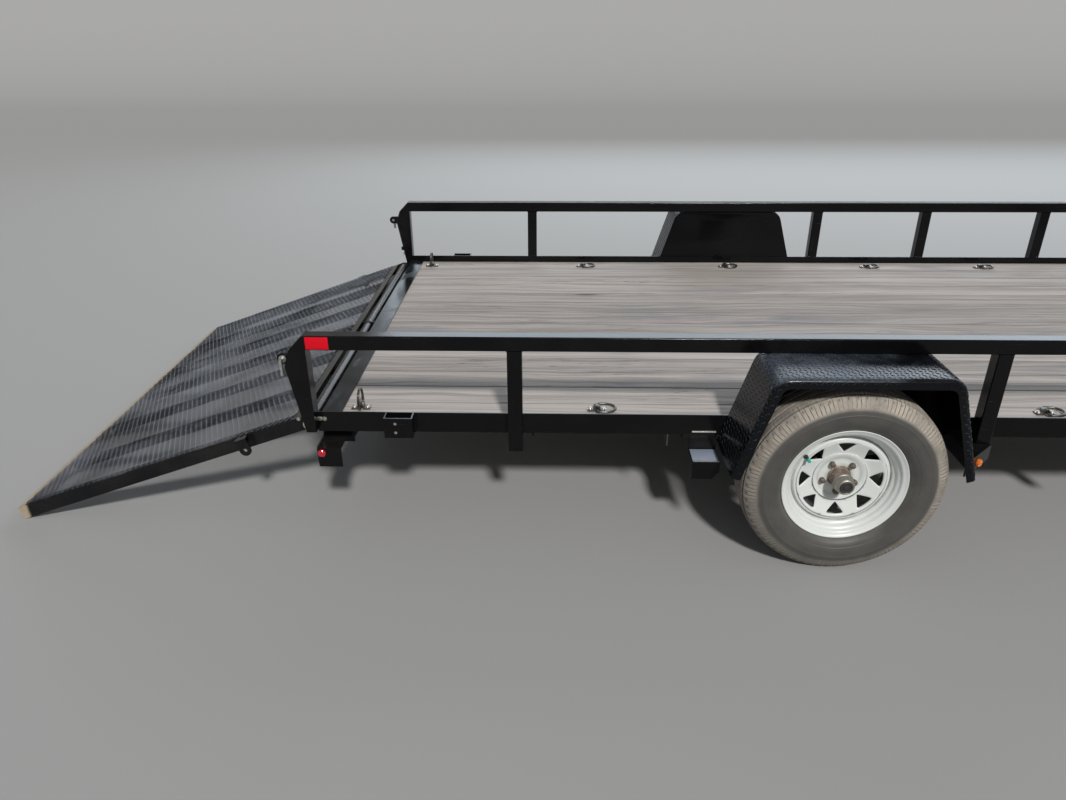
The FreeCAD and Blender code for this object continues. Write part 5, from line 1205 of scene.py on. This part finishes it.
def lugDomes(s, length, width, at):
    # long low domes at 45 degrees over a sheet, turned the other way from one to the next
    columns = int((length - 0.012) / s["lugPitch"])
    rows = int((width - 0.006) / s["lugPitch"] + 0.5)
    gridX = (np.arange(columns) - (columns - 1) / 2) * s["lugPitch"] + length / 2
    gridY = (np.arange(rows) + 0.5) * s["lugPitch"] + 0.002
    spots = np.stack(np.meshgrid(gridX, gridY, indexing="ij"), -1)
    sign = np.where((np.arange(columns)[:, None] + np.arange(rows)[None]) % 2 == 0, 1.0, -1.0)
    angle = fullTurn(10)
    sine = np.sin(angle)
    ring = np.stack([np.cos(angle) * s["lugLong"] / 2, sine * np.abs(sine) ** 0.3 * s["lugWide"] / 2], 1)
    levels = ((1.0, -0.0003), (0.78, 0.85 * s["lugTall"]), (0.0, s["lugTall"]))
    shape = np.stack([np.concatenate([ring * k, np.full((10, 1), h)], 1) for k, h in levels])
    long, wide, tall = shape[..., 0], shape[..., 1], shape[..., 2]
    c = math.cos(math.pi / 4)
    lugs = []
    for way in (1.0, -1.0):
        model = np.stack([c * (long - way * wide), c * (way * long + wide), tall], -1)
        picked = spots[sign == way]
        local = model + np.concatenate([picked, np.zeros((len(picked), 1))], 1)[:, None, None]
        lugs += [gridSurface(one, closeV=True) for one in at(local[..., 0], local[..., 1], local[..., 2])]
    return flipped(joined(lugs))


def makeFender(s):
    # the bent sheet is a map from (run along its outline, run across it, height off it) to space
    low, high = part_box("fender_left")
    line, slopeCount = fenderOutline(s, low, high)
    run = runOf(line)
    tangent = unit(np.gradient(line, run, axis=0))
    inner, outer = low[1], high[1]
    flat = outer - inner - s["bend"]
    quarter = s["bend"] * math.pi / 2
    width = flat + quarter + s["lip"] - s["bend"]

    def at(along, across, off):
        # point of the sheet: off is the height above its outside
        x = np.interp(along, run, line[:, 0])
        z = np.interp(along, run, line[:, 1])
        tx = np.interp(along, run, tangent[:, 0])
        tz = np.interp(along, run, tangent[:, 1])
        length = np.hypot(tx, tz)
        nx, nz = -tz / length, tx / length
        angle = np.clip((across - flat) / s["bend"], 0, math.pi / 2)
        y = inner + np.minimum(across, flat) + s["bend"] * np.sin(angle) + off * np.sin(angle)
        rise = s["bend"] * (np.cos(angle) - 1) + off * np.cos(angle) - np.maximum(across - flat - quarter, 0)
        return np.stack([x + nx * rise, y, z + nz * rise], -1)

    across = np.concatenate([np.linspace(0, flat, 10), flat + np.linspace(0, quarter, 7)[1:],
                             np.linspace(flat + quarter, width, 4)[1:]])
    loopAcross = np.concatenate([across, across[::-1]])
    loopOff = np.concatenate([np.zeros(len(across)), np.full(len(across), -s["sheet"])])
    grid = at(*np.broadcast_arrays(run[:, None], loopAcross, loopOff))
    sheet = weldedSurface(gridSurface(grid, closeV=True, capU=True))
    # plain plate against the frame: the outline filled, with its own small round at the edge
    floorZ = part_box("frame_side_left")[0].z
    keepRun = line[line[:, 1] > floorZ]
    footX = np.interp(floorZ, line[:slopeCount, 1], line[:slopeCount, 0])
    outline = np.concatenate([[[footX, floorZ]], keepRun, [[high[0] + low[0] - footX, floorZ]]])
    inset = outline + s["plateEase"] * unit(outline.mean(0) - outline)
    rings = [(inset, inner), (outline, inner + s["plateEase"] * 0.6), (outline, inner + s["sheet"])]
    plate = np.stack([np.stack([o[:, 0], np.full(len(o), y), o[:, 1]], 1) for o, y in rings])
    backPlate = weldedSurface(gridSurface(plate, closeV=True, capU=True))
    lugs = lugDomes(s, run[-1], width, at)
    for label, side in bothSides:
        makePiece("fenderSheet_" + label, onSide(sheet, side), "chassis", fenderPaint, ("fender_" + label,),
                  "tread_plate", 35)
        makePiece("fenderLugs_" + label, onSide(lugs, side), "chassis", fenderPaint, (),
                  "tread_plate", 60)
        makePiece("fenderPlate_" + label, onSide(backPlate, side), "chassis", blackPaint, (),
                  "black_paint", 35)


makeFender(treadFender)
print("fenders made")


# Tie-down rings, their clips and bolts

tieDowns = {
    "clipHalf": 0.034,      # half length of the strap along the trailer
    "fromMiddle": 0.904,    # how far the rings stand from the trailer's middle
    "ringSize": 0.034,
    "wire": 0.0046,
    "wireUp": 0.0085,        # middle of the ring's bar above the boards
    # ring outline across and up, in ring sizes, round from the middle of its bar
    "outline": ((0, 0), (0.77, 0), (1, 0.23), (1, 1), (0.809, 1.588), (0.309, 1.951), (-0.309, 1.951),
                (-0.809, 1.588), (-1, 1), (-1, 0.23), (-0.77, 0)),
    # strap: along and up, over the hump and back under it
    "strap": ((-0.0340, 0.0), (-0.0340, 0.0044), (-0.0185, 0.0044), (-0.0140, 0.0062), (-0.0122, 0.0105),
              (-0.0112, 0.0150), (-0.0075, 0.0192), (0.0, 0.0208), (0.0075, 0.0192), (0.0112, 0.0150),
              (0.0122, 0.0105), (0.0140, 0.0062), (0.0185, 0.0044), (0.0340, 0.0044), (0.0340, 0.0),
              (0.0088, 0.0), (0.0085, 0.0120), (0.0050, 0.0158), (0.0, 0.0168), (-0.0050, 0.0158),
              (-0.0085, 0.0120), (-0.0088, 0.0)),
    "strapHalfWide": 0.014,
    "strapEase": (0.0006, 0.0007),   # how far its edges are eased, in and across
    "strapThick": 0.0043,
    "boltAt": 0.0240,
    # washer and domed head: radius, height
    "bolt": ((0.0096, 0.0), (0.0096, 0.0012), (0.0076, 0.0013), (0.0078, 0.0030), (0.0070, 0.0052),
             (0.0045, 0.0068), (0.0, 0.0074)),
}


def ringPath(s, steps=72):
    # the outline resampled and its corners melted by a running mean round the loop
    loop = np.array(s["outline"] + s["outline"][:1], float) * s["ringSize"]
    run = runOf(loop)
    points = resampled(loop, run, np.linspace(0, run[-1], steps, endpoint=False))
    return sum(np.roll(points, k, 0) * w for k, w in ((-2, 0.1), (-1, 0.2), (0, 0.4), (1, 0.2), (2, 0.1)))


def pressedStrap(s):
    # the strap's side outline carried across, its two edges eased a little
    outline = np.array(s["strap"])
    inward, across = s["strapEase"]
    eased = outline + inward * unit(outline.mean(0) - outline)
    half = s["strapHalfWide"]
    rows = ((eased, -half), (outline, -half + across), (outline, half - across), (eased, half))
    return gridSurface(np.stack([np.stack([o[:, 0], np.full(len(o), y), o[:, 1]], 1) for o, y in rows]),
                       closeV=True, capU=True)


def makeTieDowns(s):
    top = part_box("tie_down_rings")[0].z
    strap = weldedSurface(pressedStrap(s))
    head = weldedSurface(lathe(s["bolt"], 20))
    path = ringPath(s)
    rings, straps, bolts = [], [], []
    for side in (-1, 1):
        for number, (low, _) in enumerate(stretches("tie_down_rings", 0, side)):
            foot = np.array([low + s["clipHalf"], side * s["fromMiddle"], top])
            rise = np.array([0.0, 0.0, 1.0]) if number == 0 else np.array([1.0, 0.0, 0.0])
            line = foot + (0, 0, s["wireUp"]) + path[:, :1] * (0, 1, 0) + path[:, 1:] * rise
            rings.append(weldedSurface(tube(line, s["wire"], 12, closedPath=True)))
            straps.append((strap[0] + foot, strap[1]))
            for end in (-1, 1):
                spot = foot + (end * s["boltAt"], 0, s["strapThick"])
                bolts.append((head[0] + spot, head[1]))
    makePiece("tieDownRings", joined(rings), "chassis", ringSteel, ("tie_down_rings",), "zinc", 60)
    makePiece("tieDownStraps", joined(straps), "chassis", ringSteel, (), "zinc", 40)
    makePiece("tieDownBolts", joined(bolts), "chassis", boltZinc, (), "zinc", 40)


makeTieDowns(tieDowns)
print("tie-down rings made")


# Bolts, beads of weld and tape, and the steps' painted reflection and highlights

smallParts = {
    # rear low and front high corner on the rail's outer face
    "tape": ((-2.1475, 0.7528), (-2.0705, 0.7958)),
    "tapeThick": 0.0006,
    # hexagon heads that face outwards: x, distance from the middle, z, radius
    "sideBolts": ((-2.1470, 1.0032, 0.4685, 0.0060), (-2.1325, 1.0032, 0.4685, 0.0060),
                  (-1.8731, 1.0512, 0.4745, 0.0038), (-1.8731, 1.0512, 0.4400, 0.0038)),
    "postBolt": (-2.2070, 0.4920, 0.0048),   # x, z and radius of the head on each rear post
    "hingeNut": 0.0150,
    # hexagon head: radius and height in parts of the bolt's radius
    "head": ((1.35, 0.0), (1.35, 0.16), (1.02, 0.17), (1.0, 0.80), (0.90, 0.88), (0.0, 0.90)),
    "stepIn": 0.0022,      # the step's painted sky reflection, a thin bluish plate, stays this far inside its bracket's edge
    "stepThick": 0.0012,
    "stepHighlightWide": 0.0048,    # width of the zinc strip along the step's edge, a painted highlight
    "grommet": 0.0042,     # radius of the rubber round each tail lamp
    "grommetCorner": 0.008,
    "bead": 0.0030,
    "glintBeadRadius": 0.0042,    # bright zinc bead along the frame's side above each step, a painted highlight
    "glintBeadUp": 0.4305,
    "postFoot": 0.4230,    # where the beads beside a front or side upright start
    "frontHigh": 0.4900,   # where they end on the front member
    "crossBeads": (0.4185, 0.3760),   # heights of the beads down the crossmembers' ends
    "crossIn": 0.053,      # how far inside the frame's face they lie
    "beadStep": 0.0011,
    "beadRipple": 0.0042,
}


def outwardHead(s, spot, radius, side):
    # a hexagon head with its axis along y, standing out from a spot on the trailer's side
    profile = np.array(s["head"]) * radius
    washer = gridSurface(turned(profile[:3], 24), closeU=True)
    head = gridSurface(turned(profile[2:], 6, 0.26), closeU=True)
    return onSide(weldedSurface(joined([washer, head])), side, spot)


def weldBead(s, start, end):
    # a round bead whose radius ripples along it, with a little wander
    start, end = np.asarray(start, float), np.asarray(end, float)
    length = np.linalg.norm(end - start)
    count = max(int(length / s["beadStep"]), 4)
    run = np.linspace(0, length, count)
    line = start + (end - start) * (run / length)[:, None] + rng.normal(0, 0.00012, (count, 3))
    ripple = np.abs(np.sin(run * np.pi / s["beadRipple"] + rng.uniform(0, 3)))
    radius = s["bead"] * (0.86 + 0.20 * ripple + 0.05 * np.sin(run * 61.0 + rng.uniform(0, 6)))
    radius *= np.clip(np.minimum(run, length - run) / 0.003 + 0.35, 0, 1)
    return weldedSurface(tube(line, radius, 8))


def stepSpans():
    # where the steps lie along the right side: the fender's brackets behind the wheel
    return [span for span in stretches("fender_brackets", 0, -1) if span[1] < 0]


def beadLines(s):
    # where beads lie on the right side, as pairs of ends; the left side mirrors them
    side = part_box("frame_side_right")
    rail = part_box("top_rail_right")
    face, top, under, out = side[0].y, side[1].z, rail[0].z, rail[0].y
    lines = []
    for low, high in stretches("uprights_right", 0):
        for x in (low, high):
            lines.append(((x, face, s["postFoot"]), (x, face, top - 0.002)))
            lines.append(((x, out + 0.003, under), (x, rail[1].y - 0.003, under)))
        lines.append(((low + 0.003, face, top), (high - 0.003, face, top)))
    for low, high in stretches("stake_pockets", 0, -1):
        for x in (low, high):
            lines.append(((x, face, side[0].z + 0.003), (x, face, top - 0.002)))
    for low, high in stepSpans():
        y, z = face - 0.001, side[0].z + 0.010
        lines.append(((low + 0.002, y, z), (high - 0.002, y, z)))
    for low, high in stretches("crossmembers", 0):
        lines.append([(high, face + s["crossIn"], z) for z in s["crossBeads"]])
    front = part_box("front_member")
    for low, high in stretches("uprights_front", 1, -1):
        for y in (low, high):
            lines.append([(front[1].x, y, z) for z in (s["postFoot"], s["frontHigh"])])
    return lines


def lampRubber(s, x, sides, heights):
    # a round cord that lies against the lamp's four sides, its corners drawn as quarter circles
    radius, corner = s["grommet"], s["grommetCorner"]
    turn = fullTurn(40) + 0.01
    middle = np.array([sum(sides) / 2, sum(heights) / 2])
    half = np.array([sides[1] - sides[0], heights[1] - heights[0]]) / 2 + 0.8 * radius - corner
    ring = np.stack([np.cos(turn), np.sin(turn)], 1)
    outline = middle + np.sign(ring) * half + corner * ring
    path = np.concatenate([np.full((40, 1), x - 0.7 * radius), outline], 1)
    return weldedSurface(tube(path, radius, 10, closedPath=True))


def makeSmallParts(s):
    low, high = s["tape"]
    out = abs(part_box("top_rail_right")[0].y)
    tape = roundedBox((low[0], out, low[1]), (high[0], out + s["tapeThick"], high[1]), 0.0002)
    makePiece("reflectiveTape", joined([tape, mirrored(tape)]), "chassis", redTape, (), "red_lens", 30)
    bolts = []
    for side in (-1, 1):
        for x, away, z, radius in s["sideBolts"]:
            bolts.append(outwardHead(s, np.array([x, side * away, z]), radius, side))
        x, z, radius = s["postBolt"]
        post = side * abs(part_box("rear_post_right")[0].y)
        bolts.append(outwardHead(s, np.array([x, post, z]), radius, side))
        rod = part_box("hinge_rod")
        spot = np.array([(rod[0].x + rod[1].x) / 2, side * (rod[1].y - 0.001), (rod[0].z + rod[1].z) / 2])
        bolts.append(outwardHead(s, spot, s["hingeNut"], side))
    makePiece("outerBolts", joined(bolts), "chassis", boltZinc, (), "zinc", 30)
    steps, edges, glints = [], [], []
    points = nodePoints("fender_brackets")
    rim = -abs(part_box("frame_side_right")[0].y)
    for low, high in stepSpans():
        near = points[(points[:, 0] > low - 1e-4) & (points[:, 0] < high + 1e-4) & (points[:, 1] < 0)]
        far = near[:, 1].min()
        top = near[near[:, 1] < far + 0.002][:, 2].max()
        rear, front, lying = low + s["stepIn"], high - s["stepIn"], top + 0.0002
        # painted reflection: a thin bluish plate on the step's top stands for the sky it mirrors
        steps.append(roundedBox((rear, far + s["stepIn"], lying),
                                (front, rim - 0.003, top + s["stepThick"]), 0.0005))
        # painted highlight: a bright zinc strip along the step's outer edge
        edges.append(roundedBox((rear, far + 0.0002, lying),
                                (front, far + s["stepHighlightWide"], top + 2.4 * s["stepThick"]), 0.0008))
        # painted highlight: a bright zinc bead along the frame's side stands for the glint on its lower edge
        line = [(x, rim - 0.0012, s["glintBeadUp"]) for x in (low + 0.004, high - 0.004)]
        glints.append(weldBead({**s, "bead": s["glintBeadRadius"]}, *line))
    added = (("stepSkyReflection", steps, stepSkyPaint), ("stepEdgeHighlights", edges, boltZinc), ("glintBeads", glints, boltZinc))
    for name, made, finish in added:
        pair = joined([joined(made), mirrored(joined(made))])
        makePiece(name, pair, "chassis", finish, (), "tread_plate", 40)
    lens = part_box("tail_lamps")
    rims = []
    for side in (-1, 1):
        for span in stretches("tail_lamps", 1, side):
            rims.append(lampRubber(s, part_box("light_boxes")[0].x, span, (lens[0].z, lens[1].z)))
    makePiece("lampRubbers", joined(rims), "chassis", blackRubber, (), "tyre_rubber", 60)
    beads = joined([weldBead(s, *line) for line in beadLines(s)])
    makePiece("weldBeads", joined([beads, mirrored(beads)]), "chassis", blackPaint, (), "black_paint", 50)


makeSmallParts(smallParts)
print("bolts, beads and tape made")


# U-bolts and spring plates

springKit = {
    "plateHalf": (0.056, 0.041),
    "plateThick": 0.0080,
    "legOut": 0.0360,      # legs from the axle's middle line
    "boltSide": 0.0300,    # bolts from the spring's middle line
    "boltWire": 0.0054,
    "legPast": 0.0200,
    "axleRadius": 0.0300,  # of the axle's round tube
    "leafHalf": 0.02225,   # half the width of a leaf
    "nut": ((0.0096, 0.0), (0.0096, 0.0085), (0.0085, 0.0095), (0.0, 0.0096)),
}


def makeSpringKit(s):
    tubeBox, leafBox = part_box("axle"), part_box("leaf_springs")
    axleX = (tubeBox[0].x + tubeBox[1].x) / 2
    axleZ = tubeBox[0].z + s["axleRadius"]
    leaves = nodePoints("leaf_springs")
    top = leaves[np.abs(leaves[:, 0] - axleX) < 0.06][:, 2].max()
    middle = leafBox[1].y - s["leafHalf"]
    wires, plates, nuts = [], [], []
    turn = np.linspace(0, np.pi, 20)
    for side in (-1, 1):
        y = side * middle
        wide, across = s["plateHalf"]
        plates.append(roundedBox((axleX - wide, y - across, top + 0.0003),
                                 (axleX + wide, y + across, top + s["plateThick"]), 0.0012))
        for inOut in (-1, 1):
            legY = y + inOut * s["boltSide"]
            bow = np.stack([axleX + s["legOut"] * np.cos(turn), np.full(20, legY),
                            axleZ - s["legOut"] * np.sin(turn)], 1)
            levels = np.linspace(top + s["plateThick"] + s["legPast"], axleZ + 0.002, 12)
            legs = [np.array([[axleX + k * s["legOut"], legY, z] for z in levels]) for k in (1, -1)]
            path = np.concatenate([legs[0], bow, legs[1][::-1]])
            wires.append(weldedSurface(tube(path, s["boltWire"], 12)))
            for k in (1, -1):
                nut = weldedSurface(lathe(s["nut"], 6))
                nuts.append((nut[0] + (axleX + k * s["legOut"], legY, top + s["plateThick"]), nut[1]))
    makePiece("springBolts", joined(wires + nuts), "chassis", dullZinc, (), "zinc", 40)
    makePiece("springPlates", joined(plates), "chassis", springSteel, (), "spring_steel", 30)


makeSpringKit(springKit)
print("spring bolts made")
